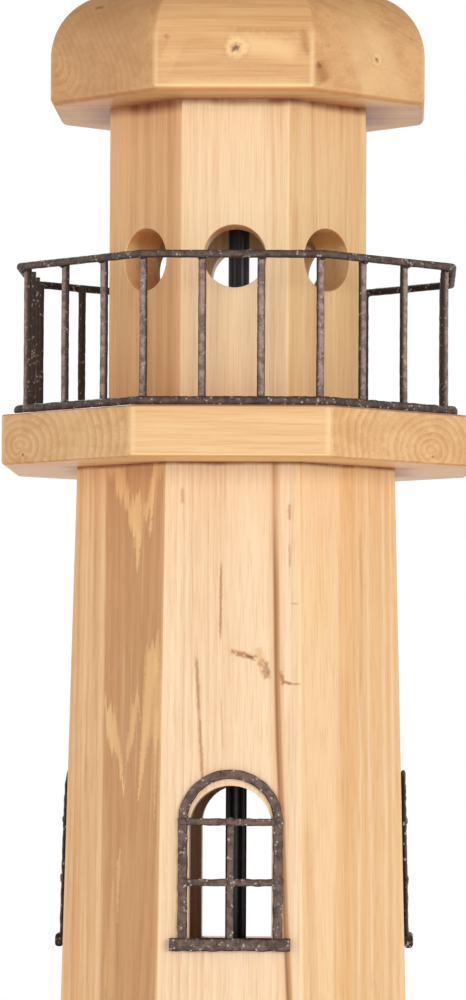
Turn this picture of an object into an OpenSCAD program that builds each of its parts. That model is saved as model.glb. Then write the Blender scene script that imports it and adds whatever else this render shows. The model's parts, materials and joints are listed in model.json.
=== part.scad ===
/* [Plinth and step] */
// Width of the plinth across flats
plinth_af = 350; // [330:1:420]
// Height of the plinth board
plinth_h = 38; // [34:1:60]
// Radius worked on the top edge of the plinth
plinth_round = 18; // [6:1:26]
// Width of the step across flats
step_af = 290; // [272:1:320]
// Height of the step board
step_h = 32; // [24:1:50]
// Radius that eases the edges of the plain boards
board_ease = 3; // [1:0.5:6]
// Diameter of each rubber foot
foot_d = 30; // [20:1:40]
// Height of each rubber foot
foot_h = 4; // [3:0.5:10]

/* [Tower] */
// Height of the tapered tower
tower_h = 873; // [600:1:1200]
// Width of the tower across flats at its foot
tower_foot_af = 246; // [226:1:262]
// Width of the tower across flats at its head
tower_head_af = 205; // [190:1:224]
// Thickness of a tower stave
tower_wall = 20; // [14:1:26]
// Thickness of the plywood discs that close the tower and the lantern
disc_h = 18; // [12:1:24]
// Diameter of the iron ballast plate
ballast_d = 170; // [120:1:184]
// Thickness of the iron ballast plate
ballast_h = 20; // [10:1:35]

/* [Windows] */
// Outside width of a window frame
window_w = 66; // [56:1:72]
// Height of the straight jambs, from the sill up to where the arch springs
jamb_h = 73; // [60:1:120]
// Distance from the deck's underside down to where the arch springs
window_drop = 227.5; // [120:0.5:300]
// Width of the frame's bar
frame_bar = 6; // [4:0.5:8]
// Width of a glazing bar
glazing_bar = 5; // [3:0.5:6]
// How far a frame stands out of its facet
frame_proud = 3; // [2:0.5:5]
// Distance from the upper glazing bar down to the lower one, centre to centre
pane_h = 38; // [28:1:46]
// Width of the sill
sill_w = 76; // [72:1:82]
// Height of the sill
sill_h = 8; // [5:0.5:12]
// How far the sill stands out of its facet
sill_proud = 5.5; // [4:0.5:9]
// How much lower the opening's arch springs than the frame's
hole_drop = 3; // [0:0.5:4]
// Diameter of the pegs that hold a frame in the wood
peg_d = 4; // [3:0.5:5]
// Length of the pegs that hold a frame in the wood
peg_h = 12; // [8:1:13]

/* [Gallery] */
// Width of the deck across flats
deck_af = 300; // [290:1:330]
// Thickness of the deck
deck_h = 33; // [22:1:45]
// Height of the railing above the deck
rail_h = 98; // [70:1:130]
// Distance from the deck's edge in to the centre of the top rail
rail_inset = 10.7; // [8:0.1:14]
// Diameter of the top rail and the posts
rail_rod = 5; // [4:0.5:6]
// Diameter of the foot rail
foot_rod = 6; // [4:0.5:7]
// Number of bays between posts along each side
rail_bays = 3; // [2:1:4]
// Depth of the corner posts' pegs in the deck
post_peg = 10; // [6:1:16]

/* [Lantern and cap] */
// Width of the lantern across flats
lantern_af = 166; // [156:1:190]
// Height of the lantern
lantern_h = 201; // [170:1:260]
// Thickness of a lantern stave
lantern_wall = 28; // [18:1:30]
// Diameter of the round portholes
porthole_d = 40; // [30:1:44]
// Height of the portholes' centres above the deck
porthole_z = 100; // [80:1:120]
// Width of the cap across flats
cap_af = 242; // [226:1:280]
// Height of the cap
cap_h = 75; // [66:1:100]
// Radius of the cap's rounded shoulder
cap_round = 44; // [20:1:50]
// Radius that eases the cap's lower edge
cap_ease = 6; // [2:0.5:10]

/* [Pipe and fittings] */
// Outside diameter of the lamp pipe
pipe_d = 13.7; // [12:0.1:14]
// Bore of the lamp pipe
pipe_bore = 10; // [7:0.1:10]
// Width of the pipe's hexagonal nuts across flats
nut_af = 20; // [18:1:24]
// Thickness of the pipe's nuts
nut_h = 6; // [4:0.5:8]
// Depth of the recess under the plinth for the foot nut
recess_h = 22; // [20:1:24]
// Bore of the bushing where a supply cord enters the plinth
inlet_bore = 7.5; // [6:0.1:8]
// Height of the neck between the cap and the harp's saddle
neck_h = 60; // [50:1:90]

/* [Socket and bulb] */
// Radius of the socket's shell
shell_r = 16; // [15.8:0.1:18]
// Height of the socket from the saddle to its rim
socket_h = 62; // [60:1:70]
// Diameter of the bulb's glass
bulb_d = 60; // [50:1:70]
// Length of the bulb with its base
bulb_h = 110; // [100:1:125]
// Length of the switch key's stem outside the shell
key_reach = 16; // [12:1:24]

/* [Harp and shade] */
// Height of the harp from the saddle to the shade's seat
harp_h = 229; // [205:1:270]
// Half the distance between the harp's legs
harp_leg = 33; // [31:1:38]
// Diameter of the harp's wire
harp_rod = 4; // [3:0.5:5]
// Diameter of the shade at its foot
shade_foot_d = 430; // [380:5:500]
// Diameter of the shade at its head
shade_head_d = 330; // [260:5:370]
// Height of the shade
shade_h = 250; // [210:5:255]
// Thickness of the shade's lined cloth
shade_wall = 1.2; // [1:0.1:2]
// Drop from the shade's head down to its seat on the harp
shade_drop = 12; // [8:1:25]
// Diameter of the shade's wires
shade_rod = 3.2; // [2.5:0.1:4]
// Diameter of the finial's ball
finial_d = 22; // [18:1:30]

/* [Fits] */
// Clearance round a part that passes through a drilled hole
hole_gap = 0.3; // [0.2:0.05:0.6]
// Clearance between pieces that nest in one another
nest_gap = 0.2; // [0.1:0.05:0.3]
// Clearance between pieces that turn on one another
turn_gap = 0.3; // [0.2:0.05:0.5]

/* [Hidden] */
$fn = 64;
SIDES = 8;
HALF = 180 / SIDES;
COMPASS = ["front", "front_right", "right", "back_right", "back", "back_left", "left", "front_left"];
OPEN_SIDES = [0, 2, 4, 6];
WINDOW_SIDES = [0, 2, 6];

oak = [0.83, 0.65, 0.43];
iron = [0.20, 0.18, 0.18];
steel = [0.62, 0.62, 0.64];
brass = [0.78, 0.62, 0.30];
linen = [0.93, 0.89, 0.80];

plinth_z = foot_h;
step_z = plinth_z + plinth_h;
tower_z = step_z + step_h;
deck_z = tower_z + tower_h;
gallery_z = deck_z + deck_h;
cap_z = gallery_z + lantern_h;
roof_z = cap_z + cap_h;

taper = (tower_foot_af - tower_head_af) / 2 / tower_h;
taper_angle = atan(taper);
spring_h = tower_h - window_drop;

recess_d = 46;
washer_h = 2;
washer_d = 38;
pipe_spare = 5;
nut_top_z = plinth_z + recess_h - washer_h;
pipe_foot_z = nut_top_z - nut_h - pipe_spare;

bushing_wall = 1.5;
inlet_d = inlet_bore + 2 * bushing_wall;
inlet_z = plinth_z + recess_h / 2;
inlet_h = 16;
flange_d = inlet_d + 4 * bushing_wall;
flange_h = 2;

ballast_z = tower_z + disc_h;
screw_d = 5;
screw_head_d = 10;
screw_circle = 160;
screw_short = 4;
screw_h = plinth_h + step_h + disc_h - screw_short;

rail_r = deck_af / 2 - rail_inset;
post_r = rail_r - rail_rod;
foot_rail_r = post_r + (rail_rod + foot_rod) / 2;
post_drop = 1;
weld_gap = 0.05;
edge_steps = 4;
shoulder_steps = 14;
wood_lip = 1;
sill_lap = 2;
sill_peg_inset = 6;

cap_washer_d = 44;
cap_washer_h = 1.5;
neck_z = roof_z + cap_washer_h;
saddle_z = neck_z + neck_h;
neck_wall = 1.5;
neck_foot_h = 3;
neck_bell_h = 23;
neck_collar = 4;
neck_steps = 8;
saddle_h = 1.6;
strap_rim = 4;
socket_z = saddle_z + saddle_h;
socket_rim_z = socket_z + socket_h;

socket_skin = 0.6;
cap_skin = 1;
boss_h = 8;
boss_wall = 2.2;
boss_r = pipe_d / 2 + boss_wall;
cup_rise = 12;
cup_z = socket_z + cup_rise;
cup_h = 10;
tube_seat = 0.5;
rim_bead = 1.2;
liner_r = shell_r - socket_skin - nest_gap;
liner_skin = 0.5;
core_r = liner_r - liner_skin - nest_gap;
core_z = cup_z + cap_skin;
core_h = 20;
contact_h = 2;
contact_r = 5;
thread_inset = 0.6;
thread_r = core_r - thread_inset;
thread_skin = 0.5;
thread_h = 24;
bulb_z = core_z + core_h + contact_h + tube_seat;
bulb_base_h = 23;
bulb_base_r = thread_r - thread_skin - nest_gap;
bulb_tip_r = 4;
bulb_flare = 25;
key_stem_r = 2;
key_clear = 1;
key_z = cup_z + cup_h + key_stem_r + key_clear;
key_depth = 6;
grip_d = 12;
grip_h = 3;

harp_z = socket_z + harp_h;
ferrule_r = 4;
ferrule_h = 18;
tongue_w = 4;
tongue_h = 11;
bow_angle = 20;
bow_r = 60;
bow_straight = 50;
leg_straight = 20;
wire_sink = 1;
bow_steps = 4;
harp_half = harp_leg + 2 * bow_r * (1 - cos(bow_angle)) + bow_straight * sin(bow_angle);
bow_rise = bow_r * sin(bow_angle);
side_z = leg_straight + 2 * bow_rise + bow_straight * cos(bow_angle);
plate_h = 2;
hoop_steps = 24;
wire_sides = 12;
side_straight = harp_h - saddle_h - plate_h - harp_rod / 2 - side_z - harp_half;
stud_r = 3.1;
stud_h = 14;

seat_z = harp_z + turn_gap;
fitter_h = 3;
fitter_r = 10;
plate_r = fitter_r - 1;
shade_head_z = seat_z + fitter_h + shade_drop;
shade_foot_z = shade_head_z - shade_h;
shade_slope = (shade_foot_d - shade_head_d) / 2 / shade_h;
ring_seat = (shade_rod / 2 + nest_gap) * sqrt(1 + shade_slope * shade_slope);
ring_inset = shade_rod;
finial_z = seat_z + fitter_h + turn_gap;
finial_foot_h = 3;
finial_foot_r = fitter_r - 2;
finial_neck_h = 9;
finial_wall = 2.5;
finial_sink = 2;

// Radius of the tower's flat sides at a height above its foot
function tower_r(h) = tower_foot_af / 2 - taper * h;

// Radius of the shade's inner face at a height above the floor
function shade_inner_r(z) = shade_head_d / 2 - shade_wall + (shade_head_z - z) * shade_slope;

// Regular octagon with a flat facing each axis
module octagon(af) {
    rotate(HALF)
        circle(r = af / 2 / cos(HALF), $fn = SIDES);
}

// Turns what is drawn facing +X to face side i of the octagon, where side 0 is the front
module on_side(i) {
    rotate([0, 0, i * 360 / SIDES - 90])
        children();
}

// Stands an outline on the XY plane up, with its thickness along +X
module face_out(depth) {
    rotate([90, 0, 90])
        linear_extrude(depth)
            children();
}

// Points round a quarter circle, from its foot to its head or the other way
function quarter(x, y, r, from, to, steps) =
    [for (k = [0 : steps]) let (a = from + (to - from) * k / steps) [x + r * cos(a), y + r * sin(a)]];

// Half section through a board whose upper and lower edges are rounded
function eased_section(half_w, h, r_head, r_foot) = concat(
    [[0, 0]],
    quarter(half_w - r_foot, r_foot, r_foot, -90, 0, edge_steps),
    quarter(half_w - r_head, h - r_head, r_head, 0, 90, r_head > 10 ? shoulder_steps : edge_steps),
    [[0, h]]);

// Octagonal board: its section runs along all eight sides and meets in mitres
module eased_octagon(af, h, r_head, r_foot) {
    rotate(HALF)
        rotate_extrude($fn = SIDES)
            polygon([for (p = eased_section(af / 2, h, r_head, r_foot)) [p[0] / cos(HALF), p[1]]]);
}

// Hole through which the lamp pipe passes
module pipe_hole(h) {
    translate([0, 0, -1])
        cylinder(h = h + 2, d = pipe_d + 2 * hole_gap);
}

// Places one of the screws that draw the base together
module at_screws() {
    for (i = [0 : 3])
        rotate([0, 0, 45 + 90 * i])
            translate([screw_circle / 2, 0, plinth_z])
                children();
}

// Countersunk wood screw standing on its head, or the hole for it
module wood_screw(gap, h) {
    cylinder(h = screw_head_d / 2, d1 = screw_head_d + 2 * gap, d2 = screw_d + 2 * gap);
    cylinder(h = h, d = screw_d + 2 * gap);
}

// Bottom board, with the recess for the foot nut and the bore for a cord
module plinth() {
    color(oak)
        difference() {
            translate([0, 0, plinth_z])
                eased_octagon(plinth_af, plinth_h, plinth_round, board_ease);
            translate([0, 0, plinth_z])
                pipe_hole(plinth_h);
            translate([0, 0, plinth_z - 1])
                cylinder(h = recess_h + 1, d = recess_d);
            translate([0, 0, inlet_z])
                rotate([-90, 0, 0])
                    cylinder(h = plinth_af, d = inlet_d + 2 * nest_gap);
            at_screws()
                wood_screw(nest_gap, screw_h);
        }
}

module base_step() {
    color(oak)
        difference() {
            translate([0, 0, step_z])
                eased_octagon(step_af, step_h, board_ease, board_ease);
            translate([0, 0, step_z])
                pipe_hole(step_h);
            at_screws()
                wood_screw(nest_gap, screw_h);
        }
}

module rubber_feet() {
    color("dimgray")
        for (i = [0 : 3])
            rotate([0, 0, 45 + 90 * i])
                translate([plinth_af / 2 - foot_d, 0, 0])
                    cylinder(h = foot_h, d = foot_d);
}

module base_screws() {
    color(steel)
        at_screws()
            wood_screw(0, screw_h);
}

// Flanged sleeve that lines the cord's bore at the back of the plinth
module cord_bushing() {
    color("dimgray")
        translate([0, plinth_af / 2, inlet_z])
            rotate([-90, 0, 0])
                difference() {
                    union() {
                        translate([0, 0, -inlet_h])
                            cylinder(h = inlet_h, d = inlet_d);
                        cylinder(h = flange_h, d = flange_d);
                    }
                    translate([0, 0, -inlet_h - 1])
                        cylinder(h = inlet_h + flange_h + 2, d = inlet_bore);
                }
}

module pipe_foot_washer() {
    color(steel)
        translate([0, 0, nut_top_z])
            difference() {
                cylinder(h = washer_h, d = washer_d);
                pipe_hole(washer_h);
            }
}

// Hexagonal lock nut on the pipe
module pipe_nut() {
    difference() {
        cylinder(h = nut_h, r = nut_af / 2 / cos(30), $fn = 6);
        translate([0, 0, -1])
            cylinder(h = nut_h + 2, d = pipe_d + 0.1);
    }
}

module pipe_foot_nut() {
    color(steel)
        translate([0, 0, nut_top_z - nut_h])
            pipe_nut();
}

// Plywood disc that fills the octagon inside the staves
module inner_disc(af) {
    difference() {
        linear_extrude(disc_h)
            octagon(af);
        pipe_hole(disc_h);
    }
}

module tower_foot_disc() {
    color(oak)
        difference() {
            translate([0, 0, tower_z])
                inner_disc(2 * (tower_r(disc_h) - tower_wall - nest_gap));
            at_screws()
                wood_screw(nest_gap, screw_h);
        }
}

module tower_head_disc() {
    color(oak)
        translate([0, 0, deck_z - disc_h])
            inner_disc(2 * (tower_r(tower_h) - tower_wall - nest_gap));
}

module ballast_plate() {
    color(iron)
        translate([0, 0, ballast_z])
            difference() {
                cylinder(h = ballast_h, d = ballast_d);
                pipe_hole(ballast_h);
            }
}

// Mitred stave: a board of constant thickness, cut to an eighth of the octagon
module stave(foot_r, head_r, h, wall) {
    intersection() {
        rotate([90, 0, 0])
            translate([0, 0, -foot_r])
                linear_extrude(2 * foot_r)
                    polygon([[foot_r - wall, 0], [foot_r, 0], [head_r, h], [head_r - wall, h]]);
        linear_extrude(h)
            polygon([[0, 0], [2 * foot_r, 2 * foot_r * tan(HALF)], [2 * foot_r, -2 * foot_r * tan(HALF)]]);
    }
}

// Moves to the face of the front stave where the window's arch springs
module at_window() {
    translate([tower_r(spring_h), 0, spring_h])
        rotate([0, -taper_angle, 0])
            children();
}

// Arched outline with straight jambs, its arch springing at the origin
module arch(w, jamb) {
    circle(d = w);
    translate([-w / 2, -jamb])
        square([w, jamb]);
}

// Peg in the wood or, with a gap, the hole for it, drilled through the facet's face
module peg(gap) {
    past = gap > 0 ? 1 : 0;
    translate([-peg_h - gap, 0, 0])
        rotate([0, 90, 0])
            cylinder(h = peg_h + gap + past, d = peg_d + 2 * gap);
}

// Pegs behind a window's frame, one at each end of both jambs
module window_pegs(gap) {
    for (side = [-1, 1], z = [-frame_bar, frame_bar - jamb_h])
        translate([0, side * (window_w - frame_bar) / 2, z])
            peg(gap);
}

module sill_pegs(gap) {
    for (side = [-1, 1])
        translate([0, side * (sill_w / 2 - sill_peg_inset), -jamb_h - sill_h / 2])
            peg(gap);
}

// Arched hole behind a window, whose foot the sill hides
module window_hole() {
    translate([-1.5 * tower_wall, 0, -hole_drop])
        face_out(2 * tower_wall)
            arch(window_w - 2 * (frame_bar + wood_lip), jamb_h + sill_h - sill_lap - hole_drop);
}

function on_any(i, sides) = len([for (side = sides) if (side == i) side]) > 0;

// Tapered stave of the tower, with an arched opening on every second side; the back one is bare
module tower_stave(i) {
    color(oak)
        translate([0, 0, tower_z])
            on_side(i)
                difference() {
                    stave(tower_r(0), tower_r(tower_h), tower_h, tower_wall);
                    if (on_any(i, OPEN_SIDES))
                        at_window() {
                            window_hole();
                            if (on_any(i, WINDOW_SIDES)) {
                                window_pegs(nest_gap);
                                sill_pegs(nest_gap);
                            }
                        }
                }
}

// Wrought frame: arched bar, glazing bars between the jambs, and pegs behind
module window_frame(i) {
    clear_w = window_w - 2 * frame_bar;
    color(iron)
        translate([0, 0, tower_z])
            on_side(i)
                at_window() {
                    face_out(frame_proud) {
                        difference() {
                            arch(window_w, jamb_h);
                            translate([0, -1])
                                arch(clear_w, jamb_h);
                            arch(clear_w, jamb_h);
                        }
                        for (z = [0, -pane_h])
                            translate([-clear_w / 2 - 1, z - glazing_bar / 2])
                                square([clear_w + 2, glazing_bar]);
                        translate([-glazing_bar / 2, -jamb_h])
                            square([glazing_bar, jamb_h]);
                    }
                    window_pegs(0);
                }
}

module window_sill(i) {
    color(iron)
        translate([0, 0, tower_z])
            on_side(i)
                at_window() {
                    face_out(sill_proud)
                        translate([-sill_w / 2, -jamb_h - sill_h])
                            square([sill_w, sill_h]);
                    sill_pegs(0);
                }
}

// Calls its children at each post; with corners set, only at the corner posts
module at_posts(corners = false) {
    side_w = 2 * post_r * tan(HALF);
    for (i = [0 : SIDES - 1], k = [0 : corners ? 0 : rail_bays - 1])
        on_side(i)
            translate([post_r, side_w * (k / rail_bays - 0.5), gallery_z])
                children();
}

module gallery_deck() {
    color(oak)
        difference() {
            translate([0, 0, deck_z])
                eased_octagon(deck_af, deck_h, board_ease, board_ease);
            translate([0, 0, deck_z])
                pipe_hole(deck_h);
            at_posts(true)
                translate([0, 0, -post_peg - nest_gap])
                    cylinder(h = post_peg + 1, d = rail_rod + 2 * nest_gap);
        }
}

// Octagonal ring of eight round rods, each bent at one end round a corner post
module rod_ring(r, d) {
    side_w = 2 * post_r * tan(HALF);
    for (i = [0 : SIDES - 1])
        on_side(i) {
            translate([r, weld_gap - side_w / 2, 0])
                rotate([-90, 0, 0])
                    cylinder(h = side_w - weld_gap, d = d);
            translate([post_r, side_w / 2, 0])
                rotate_extrude(angle = 2 * HALF)
                    translate([r - post_r, 0])
                        circle(d / 2);
        }
}

module railing_foot_rail() {
    color(iron)
        translate([0, 0, gallery_z + foot_rod / 2])
            rod_ring(foot_rail_r, foot_rod);
}

module railing_top_rail() {
    color(iron)
        translate([0, 0, gallery_z + rail_h - rail_rod / 2])
            rod_ring(rail_r, rail_rod);
}

module railing_posts() {
    color(iron) {
        at_posts()
            cylinder(h = rail_h - post_drop, d = rail_rod);
        at_posts(true)
            translate([0, 0, -post_peg])
                cylinder(h = post_peg + 1, d = rail_rod);
    }
}

module lantern_disc() {
    inner_disc(lantern_af - 2 * lantern_wall - 2 * nest_gap);
}

module lantern_foot_disc() {
    color(oak)
        translate([0, 0, gallery_z])
            lantern_disc();
}

module lantern_head_disc() {
    color(oak)
        translate([0, 0, cap_z - disc_h])
            lantern_disc();
}

// Lantern stave with its round porthole
module lantern_stave(i) {
    r = lantern_af / 2;
    color(oak)
        translate([0, 0, gallery_z])
            on_side(i)
                difference() {
                    stave(r, r, lantern_h, lantern_wall);
                    translate([r - 2 * lantern_wall, 0, porthole_z])
                        rotate([0, 90, 0])
                            cylinder(h = 3 * lantern_wall, d = porthole_d);
                }
}

// Roof block with a broad quarter-round shoulder
module cap() {
    color(oak)
        translate([0, 0, cap_z])
            difference() {
                eased_octagon(cap_af, cap_h, cap_round, cap_ease);
                pipe_hole(cap_h);
            }
}

module lamp_pipe() {
    h = socket_z + boss_h - 1 - pipe_foot_z;
    color([0.09, 0.09, 0.10])
        translate([0, 0, pipe_foot_z])
            difference() {
                cylinder(h = h, d = pipe_d);
                translate([0, 0, -1])
                    cylinder(h = h + 2, d = pipe_bore);
            }
}

module cap_washer() {
    color(brass)
        translate([0, 0, roof_z])
            difference() {
                cylinder(h = cap_washer_h, d = cap_washer_d);
                pipe_hole(cap_washer_h);
            }
}

module cap_nut() {
    color(brass)
        translate([0, 0, neck_z])
            pipe_nut();
}

// Points of an S-shaped sweep from one radius and height to another
function ogee(r_foot, z_foot, r_head, z_head, steps) =
    [for (k = [0 : steps]) let (t = k / steps)
        [r_foot + (r_head - r_foot) * (1 - cos(180 * t)) / 2, z_foot + (z_head - z_foot) * t]];

// Spun neck that hides the nut and carries the saddle
module neck() {
    bore_r = pipe_d / 2 + hole_gap;
    tube_r = bore_r + neck_wall;
    collar_r = tube_r + neck_collar;
    room_r = nut_af / 2 / cos(30) + neck_wall;
    bell_r = room_r + neck_wall;
    color(brass)
        translate([0, 0, neck_z])
            rotate_extrude()
                polygon(concat(
                    [[room_r, 0], [bell_r + neck_wall, 0], [bell_r + neck_wall, neck_foot_h]],
                    ogee(bell_r, neck_foot_h, tube_r, neck_foot_h + neck_bell_h, neck_steps),
                    ogee(tube_r, neck_h - 3 * neck_collar, collar_r, neck_h - neck_collar, neck_steps),
                    [[collar_r, neck_h], [bore_r, neck_h], [bore_r, 2 * nut_h], [room_r - 1, nut_h + 1]]));
}

// Strap whose turned-up tongues hold the harp
module harp_saddle() {
    strap_w = pipe_d + 2 * strap_rim;
    color(brass)
        translate([0, 0, saddle_z])
            difference() {
                union() {
                    translate([-harp_leg - saddle_h / 2, -strap_w / 2, 0])
                        cube([2 * harp_leg + saddle_h, strap_w, saddle_h]);
                    for (side = [-1, 1])
                        translate([side * harp_leg - saddle_h / 2, -tongue_w / 2, 0])
                            cube([saddle_h, tongue_w, saddle_h + tongue_h]);
                }
                pipe_hole(saddle_h);
            }
}

// Harp's centre line from one leg up to the hoop: [x, z, direction of travel]
function harp_rise() = concat(
    [[harp_leg, ferrule_h - wire_sink, 90]],
    [for (k = [0 : bow_steps]) let (a = bow_angle * k / bow_steps)
        [harp_leg + bow_r * (1 - cos(a)), leg_straight + bow_r * sin(a), 90 - a]],
    [for (k = [bow_steps : -1 : 0]) let (a = bow_angle * k / bow_steps)
        [harp_half - bow_r * (1 - cos(a)), side_z - bow_r * sin(a), 90 - a]]);

// The whole centre line: up one side, over the hoop and down the other side
function harp_line() = let (rise = harp_rise(), n = len(rise) - 1) concat(
    rise,
    [for (k = [0 : hoop_steps]) let (a = 180 * k / hoop_steps)
        [harp_half * cos(a), side_z + side_straight + harp_half * sin(a), 90 + a]],
    [for (k = [n : -1 : 0]) [-rise[k][0], rise[k][1], -rise[k][2]]]);

// Round wire along a line in the XZ plane, with a ring of points at each of its stations
module wire_along(line, r) {
    last = len(line) - 1;
    points = [for (p = line, k = [0 : wire_sides - 1]) let (a = 360 * k / wire_sides)
        [p[0] + r * cos(a) * sin(p[2]), r * sin(a), p[1] - r * cos(a) * cos(p[2])]];
    walls = [for (i = [0 : last - 1], k = [0 : wire_sides - 1])
        let (next = (k + 1) % wire_sides, low = i * wire_sides, high = low + wire_sides)
        [low + k, high + k, high + next, low + next]];
    foot = [for (k = [0 : wire_sides - 1]) k];
    head = [for (k = [wire_sides - 1 : -1 : 0]) last * wire_sides + k];
    polyhedron(points, concat([foot], walls, [head]), convexity = 4);
}

// Sleeve at the end of a leg, slotted for the saddle's tongue
module ferrule() {
    difference() {
        cylinder(h = ferrule_h, r = ferrule_r);
        translate([-saddle_h / 2 - nest_gap, -tongue_w / 2 - nest_gap, -1])
            cube([saddle_h + 2 * nest_gap, tongue_w + 2 * nest_gap, tongue_h + 1 + nest_gap]);
    }
}

// Wire hoop round the bulb, with the threaded stud that the shade sits on
module harp() {
    color(brass)
        translate([0, 0, socket_z]) {
            for (side = [-1, 1])
                translate([side * harp_leg, 0, 0])
                    ferrule();
            wire_along(harp_line(), harp_rod / 2);
            translate([0, 0, harp_h - plate_h - harp_rod / 2])
                cylinder(h = plate_h + harp_rod / 2, r = plate_r);
            translate([0, 0, harp_h])
                cylinder(h = stud_h, r = stud_r);
        }
}

// Lower cup of the socket, screwed on the end of the pipe
module socket_cap() {
    inner_r = shell_r + nest_gap;
    bore_r = pipe_d / 2 + 0.05;
    cup = cup_z - socket_z;
    color(brass)
        translate([0, 0, socket_z])
            rotate_extrude()
                polygon([
                    [bore_r, 0], [boss_r, 0], [boss_r, boss_h - 2], [inner_r + cap_skin, cup],
                    [inner_r + cap_skin, cup + cup_h], [inner_r, cup + cup_h],
                    [inner_r, cup + cap_skin], [bore_r, cup + cap_skin]]);
}

// Direction in which the switch key points: the front
module key_way() {
    translate([0, 0, key_z])
        rotate([90, 0, 0])
            children();
}

// Moulded body that holds the switch, with the contact for the bulb on top
module socket_core() {
    color([0.15, 0.13, 0.12])
        difference() {
            union() {
                translate([0, 0, core_z])
                    cylinder(h = core_h, r = core_r);
                translate([0, 0, core_z + core_h])
                    cylinder(h = contact_h, r1 = contact_r, r2 = contact_r - contact_h);
            }
            key_way()
                cylinder(h = 3 * core_r, r = key_stem_r + turn_gap);
        }
}

// Thin tube between two heights, with a hole for the switch key's stem
module socket_tube(r, skin, foot_z, head_z) {
    difference() {
        translate([0, 0, foot_z])
            cylinder(h = head_z - foot_z, r = r);
        translate([0, 0, foot_z - 1])
            cylinder(h = head_z - foot_z + 2, r = r - skin);
        key_way()
            cylinder(h = 2 * r, r = key_stem_r + key_clear);
    }
}

module socket_liner() {
    color("sienna")
        socket_tube(liner_r, liner_skin, core_z + 2 * tube_seat, socket_rim_z - 4 * tube_seat);
}

// Outer shell with a bead round its rim
module socket_shell() {
    color(brass) {
        socket_tube(shell_r, socket_skin, core_z + tube_seat, socket_rim_z - rim_bead);
        translate([0, 0, socket_rim_z - rim_bead])
            rotate_extrude()
                translate([shell_r + socket_skin, 0])
                    circle(rim_bead);
    }
}

module socket_thread() {
    color(brass)
        translate([0, 0, core_z + core_h])
            difference() {
                cylinder(h = thread_h, r = thread_r);
                translate([0, 0, -1])
                    cylinder(h = thread_h + 2, r = thread_r - thread_skin);
            }
}

module bulb_base() {
    color(steel)
        translate([0, 0, bulb_z])
            rotate_extrude()
                polygon([
                    [0, 0], [bulb_tip_r, 0], [bulb_base_r - bulb_tip_r / 2, bulb_tip_r],
                    [bulb_base_r, bulb_tip_r + 1],
                    [bulb_base_r, bulb_base_h], [0, bulb_base_h]]);
}

// Pear-shaped glass: a flared neck under a round head
module bulb_glass() {
    ball_r = bulb_d / 2;
    ball_z = bulb_h - ball_r;
    color([0.97, 0.96, 0.93])
        translate([0, 0, bulb_z])
            rotate_extrude() {
                intersection() {
                    translate([0, ball_z])
                        circle(ball_r);
                    translate([0, bulb_base_h])
                        square([ball_r, bulb_h]);
                }
                polygon([
                    [0, bulb_base_h], [bulb_base_r, bulb_base_h],
                    [ball_r * cos(bulb_flare), ball_z - ball_r * sin(bulb_flare)], [0, ball_z]]);
            }
}

// Turn key: a stem through the shell and a flat round grip on a short hub
module switch_key() {
    reach = shell_r + key_reach;
    stem_z = core_r - key_depth;
    hub_w = 2 * (key_stem_r + 1);
    color([0.15, 0.13, 0.12])
        key_way() {
            translate([0, 0, stem_z])
                cylinder(h = reach - stem_z, r = key_stem_r);
            translate([0, 0, reach - grip_d / 2])
                rotate([90, 0, 0])
                    linear_extrude(grip_h, center = true) {
                        circle(d = grip_d);
                        translate([-hub_w / 2, -2 * grip_d / 3])
                            square([hub_w, grip_d / 2]);
                    }
        }
}

// Lined cloth of the shade, open at its head and foot
module shade_cloth() {
    foot_r = shade_foot_d / 2;
    head_r = shade_head_d / 2;
    color(linen)
        translate([0, 0, shade_foot_z])
            rotate_extrude()
                polygon([
                    [foot_r - shade_wall, 0], [foot_r, 0], [head_r, shade_h], [head_r - shade_wall, shade_h]]);
}

// Wire hoop that lies against the inside of the cloth
module shade_hoop(z) {
    translate([0, 0, z])
        rotate_extrude()
            translate([shade_inner_r(z) - ring_seat, 0])
                circle(shade_rod / 2);
}

// Head ring with three arms that run in and down to the fitter
module shade_spider() {
    ring_z = shade_head_z - ring_inset;
    ring_r = shade_inner_r(ring_z) - ring_seat;
    arm_r = min(shade_rod, fitter_h) / 2 - nest_gap;
    arm_z = seat_z + fitter_h / 2;
    arm_rise = ring_z - arm_z;
    arm_foot = fitter_r + weld_gap + arm_r * arm_rise / (ring_r - fitter_r);
    arm_run = ring_r - arm_foot;
    color(brass) {
        shade_hoop(ring_z);
        for (i = [0 : 2])
            rotate([0, 0, 90 + 120 * i])
                translate([arm_foot, 0, arm_z])
                    rotate([0, atan2(arm_run, arm_rise), 0])
                        cylinder(h = norm([arm_run, arm_rise]), r = arm_r);
    }
}

// Washer at the hub of the spider, which sits on the harp
module shade_fitter() {
    color(brass)
        translate([0, 0, seat_z])
            difference() {
                cylinder(h = fitter_h, r = fitter_r);
                translate([0, 0, -1])
                    cylinder(h = fitter_h + 2, r = stud_r + turn_gap);
            }
}

module shade_foot_ring() {
    color(brass)
        shade_hoop(shade_foot_z + ring_inset);
}

// Ball finial that screws down on the harp's stud
module finial() {
    ball_r = finial_d / 2;
    color(iron)
        translate([0, 0, finial_z])
            difference() {
                union() {
                    cylinder(h = finial_foot_h, r = finial_foot_r);
                    cylinder(h = finial_neck_h, r = stud_r + finial_wall);
                    translate([0, 0, finial_neck_h + ball_r - finial_sink])
                        sphere(ball_r);
                }
                translate([0, 0, -1])
                    cylinder(h = stud_h + 1, r = stud_r + turn_gap);
            }
}

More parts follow.
